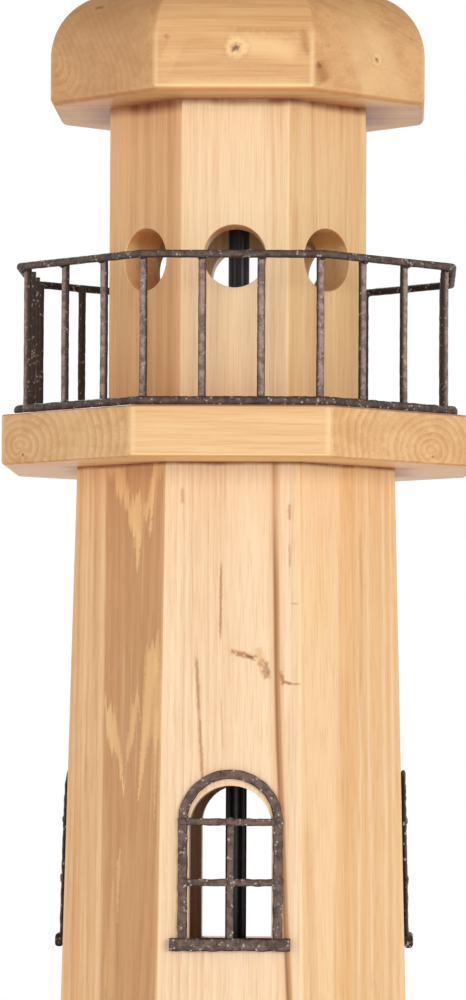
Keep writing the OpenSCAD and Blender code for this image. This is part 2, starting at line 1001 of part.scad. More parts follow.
plinth();
base_step();
rubber_feet();
base_screws();
cord_bushing();
pipe_foot_washer();
pipe_foot_nut();
tower_foot_disc();
ballast_plate();
tower_head_disc();
for (i = [0 : SIDES - 1])
    tower_stave(i);
for (i = WINDOW_SIDES)
    window_frame(i);
for (i = WINDOW_SIDES)
    window_sill(i);
gallery_deck();
railing_foot_rail();
railing_top_rail();
railing_posts();
lantern_foot_disc();
lantern_head_disc();
for (i = [0 : SIDES - 1])
    lantern_stave(i);
cap();
lamp_pipe();
cap_washer();
cap_nut();
neck();
harp_saddle();
harp();
socket_cap();
socket_core();
socket_liner();
socket_shell();
socket_thread();
bulb_base();
bulb_glass();
switch_key();
shade_cloth();
shade_spider();
shade_fitter();
shade_foot_ring();
finial();
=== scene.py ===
"""Looks of an octagonal wooden lighthouse floor lamp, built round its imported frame. Shapes, marks and sizes are written
in millimetres. The camera, the lights and the places inside shaders are metres."""

import json
import math

import bmesh
import bpy
import numpy as np
from mathutils import Matrix, Vector


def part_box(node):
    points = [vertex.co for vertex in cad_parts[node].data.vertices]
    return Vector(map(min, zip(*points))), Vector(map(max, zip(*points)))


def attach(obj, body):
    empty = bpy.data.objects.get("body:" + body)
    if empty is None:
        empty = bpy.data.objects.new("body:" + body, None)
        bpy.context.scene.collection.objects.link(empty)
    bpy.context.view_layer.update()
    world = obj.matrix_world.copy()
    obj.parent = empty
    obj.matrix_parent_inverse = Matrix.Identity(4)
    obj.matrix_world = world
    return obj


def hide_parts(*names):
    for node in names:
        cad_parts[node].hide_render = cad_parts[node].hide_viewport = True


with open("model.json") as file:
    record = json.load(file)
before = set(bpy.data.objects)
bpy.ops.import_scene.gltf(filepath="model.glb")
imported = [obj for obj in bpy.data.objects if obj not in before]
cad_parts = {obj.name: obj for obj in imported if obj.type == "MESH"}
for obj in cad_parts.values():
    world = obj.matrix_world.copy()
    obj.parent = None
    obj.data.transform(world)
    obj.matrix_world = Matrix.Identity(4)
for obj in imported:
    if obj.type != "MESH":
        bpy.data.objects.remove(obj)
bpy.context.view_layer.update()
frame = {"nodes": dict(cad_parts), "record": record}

NODES = frame["nodes"]
BODY = {node: body for body, nodes in frame["record"]["behaviour"]["bodies"].items() for node in nodes}

MM = 0.001
TURN = 2 * math.pi
EIGHTH = TURN / 8
UP = (0, 0, 1)
OUT = (1, 0, 0)
COMPASS = ["front", "front_right", "right", "back_right", "back", "back_left", "left", "front_left"]
WINDOW_SIDES = [0, 2, 6]


def facing(side):
    """Angle about the Z axis that a side of the octagon faces; side 0 is the front."""
    return side * EIGHTH - TURN / 4


def foot_of(node):
    """Height of a node's lowest point."""
    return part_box(node)[0][2] / MM


def head_of(node):
    """Height of a node's highest point."""
    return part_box(node)[1][2] / MM


def tall_of(node):
    """Height of a node from its lowest to its highest point."""
    return head_of(node) - foot_of(node)


def reach_of(node, axis=0, end=1):
    """Largest distance of a node from the Z axis along X, or the one along another axis, or to its other end."""
    return abs(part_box(node)[end][axis]) / MM


def placed(name, data):
    """New object of some data, linked to the scene."""
    thing = bpy.data.objects.new(name, data)
    bpy.context.scene.collection.objects.link(thing)
    return thing


# Camera

CAMERA_PLACE = (0.1053, -3.1983, 0.7554)
CAMERA_YAW = 0.03389
CAMERA_PITCH = 0.05401
CAMERA_ROLL = 0.00515
CAMERA_LENS = 176.46


def place_camera():
    """Camera at the photograph's viewing angle, a little to the right of the lamp and below the gallery."""
    data = bpy.data.cameras.new("camera")
    data.sensor_width = 36
    data.lens = CAMERA_LENS
    data.clip_end = 60
    camera = placed("camera", data)
    camera.matrix_world = (Matrix.Translation(CAMERA_PLACE) @ Matrix.Rotation(CAMERA_YAW, 4, "Z")
                           @ Matrix.Rotation(TURN / 4 + CAMERA_PITCH, 4, "X") @ Matrix.Rotation(CAMERA_ROLL, 4, "Z"))
    bpy.context.scene.camera = camera


place_camera()


# Shader maths


class Signal:
    """A shader socket; arithmetic on it adds Math nodes."""

    def __init__(self, nodes, socket):
        self.nodes = nodes
        self.socket = socket

    def __add__(self, other):
        return self.nodes.math("ADD", self, other)

    def __sub__(self, other):
        return self.nodes.math("SUBTRACT", self, other)

    def __rsub__(self, other):
        return self.nodes.math("SUBTRACT", other, self)

    def __mul__(self, other):
        return self.nodes.math("MULTIPLY", self, other)

    def __truediv__(self, other):
        return self.nodes.math("DIVIDE", self, other)

    def __abs__(self):
        return self.nodes.math("ABSOLUTE", self)

    __radd__, __rmul__ = __add__, __mul__

    def rise(self, low, high):
        """0 below low, 1 above high and a smooth step between them."""
        inputs = {"Value": self, "From Min": low, "From Max": high}
        return self.nodes.node("MapRange", {"interpolation_type": "SMOOTHSTEP"}, inputs)

    def fall(self, low, high):
        """1 below low, 0 above high and a smooth step between them."""
        return 1 - self.rise(low, high)


class Nodes:
    """A node tree under construction."""

    def __init__(self, tree):
        self.tree = tree

    def node(self, kind, settings=None, inputs=None, output=0):
        """Adds a node: its settings first, then the values or links of its sockets."""
        node = self.tree.nodes.new("ShaderNode" + kind)
        for key, value in (settings or {}).items():
            setattr(node, key, value)
        for key, value in (inputs or {}).items():
            self.feed(node.inputs[key], value)
        return Signal(self, node.outputs[output])

    def feed(self, socket, value):
        """Links a signal to a socket, or sets the socket's own value."""
        if isinstance(value, Signal):
            self.tree.links.new(value.socket, socket)
        elif hasattr(value, "__len__") and socket.type == "RGBA":
            socket.default_value = (*value, 1)
        else:
            socket.default_value = value

    def math(self, operation, *values):
        """One step of arithmetic on signals and numbers."""
        return self.node("Math", {"operation": operation}, dict(enumerate(values)))


NORMAL, MAP, OBJECT = 1, 2, 3


class Finish(Nodes):
    """A material under construction, with one principled shader; tint is its colour so far."""

    def __init__(self, name, tint=None):
        self.material = bpy.data.materials.new(name)
        self.material.use_nodes = True
        super().__init__(self.material.node_tree)
        self.shader = self.tree.nodes["Principled BSDF"]
        self.tint = tint

    def vector(self, operation, *values):
        """Vector maths; a length or a dot product is a number."""
        output = int(operation in ("LENGTH", "DOT_PRODUCT"))
        return self.node("VectorMath", {"operation": operation}, dict(enumerate(values)), output)

    def scaled(self, vector, factor):
        """A vector times a number."""
        return self.node("VectorMath", {"operation": "SCALE"}, {0: vector, "Scale": factor})

    def mix(self, factor, first, second, blend="MIX"):
        """Colour mixed from first to second by a factor from 0 to 1."""
        settings = {"data_type": "RGBA", "blend_type": blend}
        return self.node("Mix", settings, {0: factor, 6: first, 7: second}, output=2)

    def lay(self, mask, tone, blend="MIX"):
        """Lays a tone over the tint where the mask is 1."""
        self.tint = self.mix(mask, self.tint, tone, blend)

    def stain(self, mask, tone):
        """Darkens the tint by a tone where the mask is 1."""
        self.lay(mask, tone, "MULTIPLY")

    def coords(self, kind=OBJECT):
        """The object's coordinates, its normals or its UV map."""
        return self.node("TexCoord", output=kind)

    def stretched(self, spot, turn=(0, 0, 0), shift=(0, 0, 0), scale=(1, 1, 1)):
        """Coordinates scaled, turned and then shifted."""
        inputs = {"Vector": spot, "Rotation": turn, "Location": shift, "Scale": scale}
        return self.node("Mapping", {"vector_type": "POINT"}, inputs)

    def noise(self, spot, scale, detail=2.0, roughness=0.5):
        """Smooth noise round 0.5, with features about 1 / scale wide."""
        inputs = {"Vector": spot, "Scale": scale, "Detail": detail, "Roughness": roughness}
        return self.node("TexNoise", {"noise_dimensions": "3D"}, inputs)

    def wobble(self, spot, scale, detail):
        """Noise vector round zero."""
        noise = self.node("TexNoise", inputs={"Vector": spot, "Scale": scale, "Detail": detail}, output=1)
        return self.vector("SUBTRACT", noise, (0.5, 0.5, 0.5))

    def parts(self, vector):
        """X, Y and Z of a vector."""
        node = self.node("SeparateXYZ", inputs={0: vector}).socket.node
        return [Signal(self, socket) for socket in node.outputs]

    def joined(self, x, y, z):
        """Vector from three numbers."""
        return self.node("CombineXYZ", inputs={0: x, 1: y, 2: z})

    def bump(self, height, distance, strength, under=None):
        """Normals tilted by a height."""
        inputs = {"Height": height, "Distance": distance, "Strength": strength}
        if under is not None:
            inputs["Normal"] = under
        return self.node("Bump", inputs=inputs)

    def set(self, **sockets):
        """Feeds the tint and the shader's other sockets, named with underscores for spaces."""
        for key, value in {"Base_Color": self.tint, **sockets}.items():
            self.feed(self.shader.inputs[key.replace("_", " ")], value)
        return self.material


# Wood

PALE = (0.900, 0.655, 0.385)
WARM = (0.780, 0.500, 0.235)
LATE = (0.640, 0.370, 0.160)
HEART = (0.600, 0.325, 0.150)
BARK = (0.160, 0.065, 0.028)
RUST = (0.470, 0.200, 0.070)
# Painted highlight on eased arrises; also the pale halo round knots
EDGE_HIGHLIGHT_AND_HALO = (1.000, 0.700, 0.360)
# Painted highlight on the lips under the boards
LIP_HIGHLIGHT = (1.000, 0.720, 0.320)
EARLY = (0.960, 0.720, 0.430)
END_GRAIN = (0.86, 0.66, 0.52)
# Painted shade on slopes that face down
UNDERSIDE_SHADE = (0.76, 0.48, 0.18)
GLUE_RIM = (0.74, 0.42, 0.19)
GLUE = (0.46, 0.200, 0.070)
# Painted contact shade in joints
JOINT_SHADE = (0.30, 0.145, 0.080)
# Dust round what rests on faces that look up; painted shade on faces that look down
REST_DUST_AND_SHADE = (0.46, 0.24, 0.12)
# Painted shade on wood set back behind a stave's face, as in a window's reveal
RECESS_SHADE = (0.55, 0.33, 0.21)
TO_END_GRAIN = (0, -TURN / 4, 0)


class Wood(Finish):
    """Clear-coated softwood, its grain along the turned Z axis. Streaks and fibres are noise drawn out along it."""

    def __init__(self, name, turn, pith, ring):
        super().__init__(name)
        self.board = self.stretched(self.coords(), turn)
        self.out, self.across, self.along = self.parts(self.board)
        slow = self.stretched(self.board, scale=(12, 12, 3.36), shift=(pith[0] * 90, pith[1] * 70, ring * 900))
        grain = self.stretched(self.board, scale=(1, 1, 0.022), shift=(pith[1] * 3, pith[0] * 2, 0))
        broad = self.stretched(self.board, scale=(1, 1, 0.035), shift=(pith[1] * 5, pith[0], 0))
        self.fibre = self.noise(grain, 1300, detail=3)
        self.streak = self.noise(grain, 260)
        self.stripe = self.noise(broad, 105)
        self.cloud = self.noise(self.stretched(self.board, scale=(1, 1, 0.3)), 22)
        self.sway = self.wobble(slow, 1, 1)
        self.ragged = self.wobble(self.board, 420, 2)
        self.bent = self.vector("ADD", self.board, self.scaled(self.sway, 2 * MM))
        self.jitter = (self.streak - 0.5) * (2.4 * MM) + (self.cloud - 0.5) * (2 * MM)
        self.upward = self.parts(self.coords(NORMAL))[2]
        self.end_grain = abs(self.parts(self.stretched(self.coords(NORMAL), turn))[2])
        self.side_grain = self.end_grain.fall(0.2, 0.75)

    def grow(self, pith, lean, ring, wander, knots):
        """Growth rings: shells round the pith, a line that leans and wanders, pushed out round the knots. Each ring
        runs from pale early wood to a narrow late line."""
        leaning = self.joined(-pith[0] - self.along * lean[0], -pith[1] - self.along * lean[1], 0)
        swing = self.scaled(self.sway, 2.4 * wander)
        x, y, _ = self.parts(self.vector("ADD", self.vector("ADD", self.board, leaning), swing))
        self.radius = self.math("SQRT", x * x + y * y) + (self.streak - 0.5) * (1.3 * MM)
        for centre, size in knots:
            away = self.vector("SUBTRACT", self.board, centre)
            fade = self.vector("DOT_PRODUCT", away, away) * (-1 / (3.2 * size * MM) ** 2)
            self.radius = self.radius + self.math("POWER", math.e, fade) * (4 * size * MM)
        inputs = {"W": self.radius * (0.13 / ring), "Scale": 1, "Detail": 2}
        self.years = self.node("TexNoise", {"noise_dimensions": "1D"}, inputs)
        phase = self.math("FRACT", self.radius / ring + self.years * 1.6)
        self.line = phase.rise(0.10, 0.90) * phase.fall(0.90, 1.0)

    def add_heart(self, core, heart, late):
        """Darker wood within a distance of the pith, with a ragged edge."""
        edge = self.radius + (self.streak - 0.5) * (5 * MM) + (self.stripe - 0.5) * (9 * MM)
        tone = self.mix(self.stripe.rise(0.35, 0.65) * 0.35, heart, late)
        self.lay(edge.fall(core - 1.5 * MM, core + 1.5 * MM), tone)

    def add_band(self, x_first, z_first, x_last, z_last, width, depth, tone):
        """Straight streak between two places, the first of them above."""
        slope = (x_first - x_last) / (z_first - z_last)
        near = abs(self.across - self.along * slope - (x_first - z_first * slope) * MM + self.jitter)
        half, soft = 0.5 * width * MM, min(0.4 * width, 1.4) * MM
        mask = near.fall(half - soft, half + soft) * depth
        mask = mask * self.along.fall((z_first - 8) * MM, (z_first + 8) * MM)
        self.lay(mask * self.along.rise((z_last - 12) * MM, (z_last + 12) * MM), tone)

    def to_line(self, spot, start, end):
        """Distance of a spot from a line, and how far along the line it lies, from 0 to 1."""
        along = tuple(np.subtract(end, start))
        away = self.vector("SUBTRACT", spot, start)
        share = self.vector("DOT_PRODUCT", away, along) / float(np.dot(along, along))
        share = self.node("Clamp", inputs={"Value": share})
        return self.vector("LENGTH", self.vector("SUBTRACT", away, self.scaled(along, share))), share

    def add_flames(self, flames):
        """Pale tongues with torn ends, which narrow towards their last place."""
        ragged = self.parts(self.ragged)[0] * (4 * MM)
        spot = self.vector("ADD", self.bent, self.joined(ragged, ragged, (self.streak - 0.5) * (48 * MM)))
        for start, end, width, depth, tone in flames:
            gap, share = self.to_line(spot, start, end)
            mask = (gap / (1 - share * 0.8)).fall(0.22 * width, 0.60 * width) * depth
            self.lay(mask * (0.68 + self.streak.rise(0.36, 0.64) * 0.30), tone)

    def add_seam(self, across_top, top, slope, bend, width):
        """Glue line, across = across_top + slope * fall + bend * fall ** 2, filled less near its top."""
        fall = top * MM - self.along
        miss = self.across - across_top * MM - fall * slope - fall * fall * bend + self.jitter * 0.5
        near, width = abs(miss), width * MM
        filled = 0.45 + fall.rise(0.020, 0.080) * 0.55
        self.lay(near.fall(0.3 * width, 1.4 * width) * 0.50, GLUE_RIM)
        self.lay(near.fall(0.22 * width, 0.64 * width) * (filled * 0.90), GLUE)
        self.lay(abs(miss + 0.14 * width).fall(0, 0.3 * width) * (filled * 0.60), BARK)
        self.groove = self.groove - near.fall(0.1 * width, 0.5 * width)

    def add_strokes(self, strokes):
        """Cracks and dents: dark lines that fade out at their ends; those of middling width break into crumbs. Broad
        tones on the cap are painted shade and painted light over its sides.
        """
        crumb = self.noise(self.board, 330).rise(0.22, 0.52)
        for start, end, width, depth, tone in strokes:
            spot = self.vector("ADD", self.bent, self.scaled(self.ragged, min(0.5 * width, 3 * MM)))
            gap, share = self.to_line(spot, start, end)
            mask = gap.fall(0.06 * width, 0.60 * width) * (share * (1 - share) * 4).rise(-0.15, 0.60)
            mask = mask * (crumb if 4 * MM < width < 8 * MM else 1)
            self.lay(mask * depth, tone)
            self.groove = self.groove - mask * (0.3 * depth)

    def add_knot(self, centre, size):
        """Knot: bark at its heart, rust round it, then a pale halo and a faint rim."""
        spot = self.vector("ADD", self.bent, self.scaled(self.ragged, 1.8 * size * MM))
        gap = self.vector("LENGTH", self.vector("SUBTRACT", spot, centre)) / (size * MM)
        self.lay(gap.rise(1.8, 2.5) * gap.fall(2.5, 3.4) * 0.12, RUST)
        self.lay(gap.fall(1.4, 2.8) * min(0.5, 0.16 * size), EDGE_HIGHLIGHT_AND_HALO)
        self.lay(gap.fall(0.6, 1.5) * 0.50, RUST)
        self.lay(gap.fall(0.35, 0.85) * 0.85, BARK)

    def add_edge_highlights(self):
        """Painted highlights on eased arrises and lips, and painted shade on the slope under them."""
        x, y, _ = self.parts(self.coords())
        flat, down = abs(self.upward), self.upward * -1
        # Painted highlight along the upright arrises
        arris = (self.math("COSINE", self.math("ARCTAN2", y, x) * 8) * -1).rise(0.985, 0.999) * flat.fall(0.05, 0.35)
        self.lay(arris * (0.16 + self.cloud * 0.3), EDGE_HIGHLIGHT_AND_HALO)
        # Painted highlight on the lower lips of faces along the grain
        self.lay(down.rise(0.10, 0.26) * down.fall(0.34, 0.55) * self.side_grain * 0.65, LIP_HIGHLIGHT)
        # Painted shade on the slopes that face down under the lips
        self.stain(down.rise(0.45, 0.70) * down.fall(0.92, 0.99) * 0.6, UNDERSIDE_SHADE)

    def add_joint_shade_and_dust(self, joints, rests):
        """Painted contact shade in joints, given as height and width; and on level faces that face up (1) or down (-1)
            between two octagons where something rests, given as the way and the octagons' reaches, dust on those that
            face up and painted shade on those that face down."""
        x, y, height = self.parts(self.coords())
        for low, width in joints:
            # Painted contact shade along each joint
            close = abs(height - low * MM + (self.cloud - 0.5) * (width * MM)).fall(0.1 * width * MM, width * MM)
            self.stain(close * abs(self.upward).fall(0.80, 0.95) * (0.45 + self.stripe * 0.9), JOINT_SHADE)
        reach = self.math("MAXIMUM", self.math("MAXIMUM", abs(x), abs(y)), (abs(x) + abs(y)) * math.sqrt(0.5))
        for way, near, far in rests:
            # Dust where the face looks up, painted shade where it looks down
            inside = (reach + (self.cloud - 0.5) * ((far - near) * MM)).fall(near * MM, far * MM)
            self.stain((self.upward * way).rise(0.5, 0.8) * inside * (0.40 + self.stripe * 0.6), REST_DUST_AND_SHADE)


def wood(name, turn, pith, lean=(0, 0), pale=PALE, warm=WARM, late=LATE, heart=HEART, ring=3, contrast=0.5,
         stripes=0.45, core=0, wander=5, ring_share=(0.30, 1.0), bands=(), flames=(), strokes=(), knots=(), seam=None,
         joints=(), rests=(), face=None):
    """Softwood with its figure. The pith's place is in metres. ring_share is how strongly the rings show on end grain
    and along it, and the wood behind its face, given by its reach at height 0 and its slope, gets painted shade."""
    timber = Wood(name, turn, pith, ring * MM)
    timber.grow(pith, lean, ring * MM, wander * MM, knots)
    cloud, streak, stripe, fibre, side_grain = (getattr(timber, key) for key in
                                                ("cloud", "streak", "stripe", "fibre", "side_grain"))
    share = (cloud - 0.5) * 1.1 + (stripe.rise(0.36, 0.66) - 0.5) * (1.6 * stripes) + 0.32
    timber.tint = timber.mix(share, pale, warm)
    if core:
        timber.add_heart(core * MM, heart, late)
    for band in bands:
        timber.add_band(*band)
    shown = ring_share[0] + side_grain * (ring_share[1] - ring_share[0])
    timber.stain(timber.line * (timber.years.rise(0.36, 0.66) * contrast) * shown, late)
    timber.stain(fibre.rise(0.42, 0.72) * 0.26, late)
    timber.stain(streak.rise(0.56, 0.74) * (0.30 * stripes + 0.05), late)
    timber.lay(streak.rise(0.42, 0.26) * side_grain * (0.32 * stripes + 0.08), EARLY)
    timber.stain(timber.end_grain.rise(0.25, 0.95) * 0.20, END_GRAIN)
    timber.groove = fibre * 0.5 + timber.line * 0.4
    timber.add_flames(flames)
    if seam:
        timber.add_seam(*seam)
    timber.add_strokes(strokes)
    for centre, size in knots:
        timber.add_knot(centre, size)
    timber.add_edge_highlights()
    timber.add_joint_shade_and_dust(joints, rests)
    if face:
        # Painted shade on the wood behind the face, such as a window's reveal
        deep = timber.along * face[1] + face[0] * MM - timber.out
        timber.stain(deep.rise(2 * MM, 5 * MM) * 0.80, RECESS_SHADE)
    return timber.set(Roughness=0.42 + fibre * 0.16, Coat_Weight=0.15, Coat_Roughness=0.25,
                      Specular_IOR_Level=0.35, Normal=timber.bump(timber.groove, 0.00007, 0.7))


def plywood(name):
    """Bare plywood: pale faces, and plies of alternating tone in its thickness."""
    finish = Finish(name)
    spot = finish.coords()
    ply = finish.math("SINE", finish.parts(spot)[2] * (TURN / (3.6 * MM)))
    fibre = finish.noise(finish.stretched(spot, scale=(30, 900, 900)), 1, detail=3)
    finish.tint = finish.mix(ply.rise(-0.2, 0.2) * 0.45, (0.66, 0.47, 0.28), (0.42, 0.26, 0.13))
    finish.stain(fibre.rise(0.4, 0.7) * 0.35, (0.45, 0.28, 0.15))
    return finish.set(Roughness=0.62, Normal=finish.bump(fibre, 0.0001, 0.5))


# Metal, moulded and woven finishes


def hammered_iron(name, highlight_tone, dull, specks):
    """Dark brown-black forged iron: shallow hammer marks and small bright specks. A painted highlight makes it lighter
    where it faces away from the lamp's axis, outward being the normal times the direction from the axis."""
    finish = Finish(name)
    spot = finish.coords()
    marks = finish.noise(spot, 230, detail=3, roughness=0.55)
    grit = finish.noise(spot, 900)
    fleck = finish.node("TexVoronoi", inputs={"Vector": spot, "Scale": 420}).rise(0.46, 0.10)
    speck = fleck * finish.noise(spot, 190, detail=1).rise(0.48, 0.60)
    x, y, _ = finish.parts(spot)
    normal_x, normal_y, _ = finish.parts(finish.coords(NORMAL))
    outward = (normal_x * x + normal_y * y) / finish.math("SQRT", x * x + y * y + 0.000001)
    # Painted highlight on faces that look away from the lamp's axis, mottled by the hammer marks
    painted_highlight = outward.rise(0.25, 1.0) * (0.28 + marks.rise(0.36, 0.62) * 0.52 + grit.rise(0.35, 0.65) * 0.20)
    finish.tint = finish.mix(painted_highlight, dull, highlight_tone)
    finish.lay(speck * specks, (0.62, 0.53, 0.47))
    relief = finish.bump(grit + speck * 1.5, 0.00012, 0.6, under=finish.bump(marks, 0.0004, 0.7))
    return finish.set(Roughness=0.45 + grit * 0.25, Specular_IOR_Level=0.18, Normal=relief)


def rough_casting(name):
    """Sand-cast iron, grainy and matt."""
    finish = Finish(name)
    grain = finish.noise(finish.coords(), 700, detail=4)
    finish.tint = finish.mix(grain.rise(0.4, 0.65), (0.05, 0.05, 0.052), (0.14, 0.13, 0.13))
    return finish.set(Metallic=0.6, Roughness=0.7, Normal=finish.bump(grain, 0.0004, 0.8))


def enamel(name):
    """Glossy black enamel with a faint orange-peel."""
    finish = Finish(name)
    spot = finish.coords()
    peel = finish.noise(spot, 320, detail=1)
    dust = finish.noise(spot, 2600, detail=1).rise(0.70, 0.80)
    finish.tint = finish.mix(dust * 0.5, (0.008, 0.006, 0.006), (0.05, 0.045, 0.045))
    return finish.set(Roughness=0.30 + peel * 0.10, Specular_IOR_Level=0.4, Normal=finish.bump(peel, 0.0001, 0.25))


def satin_metal(name, clean, tarnish, rough, stretch=40):
    """Drawn or spun metal: fine lines along one axis, with a duller film in patches."""
    finish = Finish(name)
    spot = finish.coords()
    lines = finish.noise(finish.stretched(spot, scale=(1, 1, stretch)), 60, detail=3)
    film = finish.noise(spot, 45, detail=3)
    finish.tint = finish.mix(film.rise(0.48, 0.72) * 0.55, clean, tarnish)
    return finish.set(Metallic=1.0, Roughness=rough + lines * 0.16, Normal=finish.bump(lines, 0.00004, 0.5))


def moulded(name, tone, rough, grain):
    """Moulded plastic, rubber or pressed fibre: one tone, finely mottled and grained."""
    finish = Finish(name)
    spot = finish.coords()
    fine = finish.noise(spot, grain, detail=3)
    shade = tuple(0.62 * part for part in tone)
    finish.tint = finish.mix(fine.rise(0.35, 0.65) * 0.5 + finish.noise(spot, 60) * 0.3, tone, shade)
    return finish.set(Roughness=rough + fine * 0.12, Normal=finish.bump(fine, 0.00008, 0.5))


def opal_glass(name):
    """Opal white glass with a thin clear surface."""
    finish = Finish(name)
    cloud = finish.noise(finish.coords(), 40)
    finish.tint = finish.mix(cloud * 0.4, (0.90, 0.89, 0.86), (0.82, 0.81, 0.78))
    return finish.set(Roughness=0.22 + cloud * 0.06, Coat_Weight=0.6, Coat_Roughness=0.05)


THREADS_ROUND = 1500
THREADS_UP = 300


def linen(name, tone, shade):
    """Plain-woven linen on the piece's own UV map: warp and weft cross as sine ridges, and slubs thicken a few."""
    finish = Finish(name)
    across, up, _ = finish.parts(finish.coords(MAP))
    warp = finish.math("SINE", across * (TURN * THREADS_ROUND))
    weft = finish.math("SINE", up * (TURN * THREADS_UP))
    upright = finish.noise(finish.joined(across * 900, up * 9, 0), 1, detail=3)
    level = finish.noise(finish.joined(across * 30, up * 240, 0), 1, detail=3)
    slub = upright.rise(0.55, 0.80) + level.rise(0.55, 0.80)
    finish.tint = finish.mix(slub * 0.4 + upright * 0.35, tone, shade)
    weave = finish.bump(warp * 0.25 + weft * 0.25 + slub * 0.9, 0.00018, 0.7)
    return finish.set(Roughness=0.85, Sheen_Weight=0.25, Sheen_Roughness=0.5, Specular_IOR_Level=0.2, Normal=weave)


# Shapes

CREASE = 24
CORNER_POINTS = 5


def around(count):
    """Angles evenly spaced round a full turn."""
    return np.arange(count) * (TURN / count)


def unit(vectors):
    """Vectors brought to length 1."""
    return vectors / np.linalg.norm(vectors, axis=-1, keepdims=True)


def arc(x, y, radius, start, end, steps):
    """Points (x + radius cos a, y + radius sin a) for a from start to end, in eighths of a turn."""
    angle = np.linspace(start * EIGHTH, end * EIGHTH, steps)
    return np.stack([x + radius * np.cos(angle), y + radius * np.sin(angle)], axis=-1)


def ogee(first, last, steps):
    """S-shaped run between two points: the height grows evenly and the radius by half a cosine."""
    share = np.linspace(0, 1, steps)
    ease = (1 - np.cos(share * math.pi)) / 2
    return np.stack([first[0] + (last[0] - first[0]) * ease, first[1] + (last[1] - first[1]) * share], axis=-1)


def profile(*runs):
    """One outline from single points and runs of points."""
    return np.concatenate([np.atleast_2d(np.asarray(run, dtype=float)) for run in runs])


def straight(first, last, step=1.5):
    """Evenly spaced points between two places."""
    first, last = np.asarray(first, dtype=float), np.asarray(last, dtype=float)
    count = max(int(np.linalg.norm(last - first) / step), 2)
    return first + (last - first) * np.linspace(0, 1, count)[:, None]


def circle(radius, sides=16):
    """Round section."""
    angle = around(sides)
    return np.stack([radius * np.cos(angle), radius * np.sin(angle)], axis=-1)


def bar_section(width, depth, sides, power):
    """Flat bar's section with soft corners: |x / a| ** power + |y / b| ** power = 1."""
    way = circle(1, sides)
    reach = (np.abs(way) ** power).sum(axis=-1, keepdims=True) ** (-1 / power)
    return way * reach * (width / 2, depth / 2)


def rounded_octagon(reach, corner):
    """Outline of an octagon at a distance from its middle. Each corner is an arc about a centre on the line to the
    corner, and a corner radius equal to the distance makes a circle."""
    middle = (around(8) + EIGHTH / 2)[:, None]
    angle = middle + np.linspace(-EIGHTH / 2, EIGHTH / 2, CORNER_POINTS)
    centre = (reach - corner) / math.cos(EIGHTH / 2)
    x, y = centre * np.cos(middle) + corner * np.cos(angle), centre * np.sin(middle) + corner * np.sin(angle)
    return np.stack([x.ravel(), y.ravel()], axis=-1)


def uneven(points, size, seed):
    """Smooth noise from about -1 to 1: twelve sine waves, each about size long, in fixed random directions."""
    rng = np.random.default_rng(seed)
    waves = unit(rng.normal(size=(12, 3))) * rng.uniform(0.6, 1.5, size=(12, 1)) * (TURN / size)
    return np.sin(points @ waves.T + rng.uniform(0, TURN, 12)).sum(axis=-1) / 3.5


def polar(radius, angle, height):
    """Points at a distance from the Z axis, an angle round it and a height."""
    return np.stack(np.broadcast_arrays(radius * np.cos(angle), radius * np.sin(angle), height), axis=-1)


def surface(grid, ring_rows=False):
    """Points and faces of a grid whose rows are closed rings: four-sided faces between neighbours, and a flat face on
    each open end."""
    rows, cols = grid.shape[:2]
    row = np.arange(rows if ring_rows else rows - 1)[:, None]
    col = np.arange(cols)[None, :]
    above, beside = (row + 1) % rows * cols, (col + 1) % cols
    corners = np.broadcast_arrays(row * cols + col, row * cols + beside, above + beside, above + col)
    faces = np.stack(corners, axis=-1).reshape(-1, 4).tolist()
    if not ring_rows:
        faces.append(list(range(cols))[::-1])
        faces.append(list(range((rows - 1) * cols, rows * cols)))
    return grid.reshape(-1, 3), faces


def together(shapes):
    """One shape from several."""
    points, faces, count = [], [], 0
    for some_points, some_faces in shapes:
        points.append(some_points)
        faces.extend([[corner + count for corner in face] for face in some_faces])
        count += len(some_points)
    return np.concatenate(points), faces


def moved(shape, matrix):
    """A shape turned and shifted by a 4 by 4 matrix."""
    matrix = np.array(matrix)
    return shape[0] @ matrix[:3, :3].T + matrix[:3, 3], shape[1]


def four_times(shape, reach, height=0):
    """A shape at four places, at a distance from the Z axis along its diagonals."""
    turns = [Matrix.Rotation(EIGHTH * (1 + 2 * k), 4, "Z") for k in range(4)]
    return [moved(shape, turn @ Matrix.Translation((reach, 0, height))) for turn in turns]


def rounds(outline, count):
    """Grid of a turned piece: each point of the outline, as radius and height, carried round the Z axis."""
    return polar(outline[:, 0, None], around(count), outline[:, 1, None])


def spun(node, *runs, count=96, ring=True):
    """Turned piece from the runs of its outline, whose heights are above the node's foot."""
    return surface(rounds(profile(*runs) + (0, foot_of(node)), count), ring)


def layers(rows, low):
    """Surface through closed outlines at heights above low, and back from the last to the first."""
    grid = [np.column_stack([outline, np.full(len(outline), low + height)]) for outline, height in rows]
    return surface(np.stack(grid), ring_rows=True)


def swept(path, section, up, closed=False, rough=0.0, size=6, seed=1):
    """Section carried along a path, square to it, its second axis towards up; the surface is moved in or out by
    up to rough, as a hammer leaves it."""
    path = np.asarray(path, dtype=float)
    ahead = np.roll(path, -1, axis=0) - np.roll(path, 1, axis=0) if closed else np.gradient(path, axis=0)
    ahead = unit(ahead)
    side = unit(np.cross(np.broadcast_to(up, path.shape), ahead))
    top = np.cross(ahead, side)
    out = section[None, :, 0, None] * side[:, None] + section[None, :, 1, None] * top[:, None]
    grid = path[:, None] + out
    if rough:
        grid = grid + unit(out) * (rough * uneven(grid, size, seed))[..., None]
    return surface(grid, ring_rows=closed)


def lump(centre, radii, seed, rough=0.16):
    """Weld bead: an ellipsoid, x = a cos u cos v and so on, pushed in and out by noise."""
    tilt = np.linspace(-TURN / 4, TURN / 4, 14)[1:-1, None]
    ball = polar(np.cos(tilt), around(14), np.sin(tilt))
    return surface(ball * (1 + rough * uneven(ball, 1.6, seed))[..., None] * radii + centre)


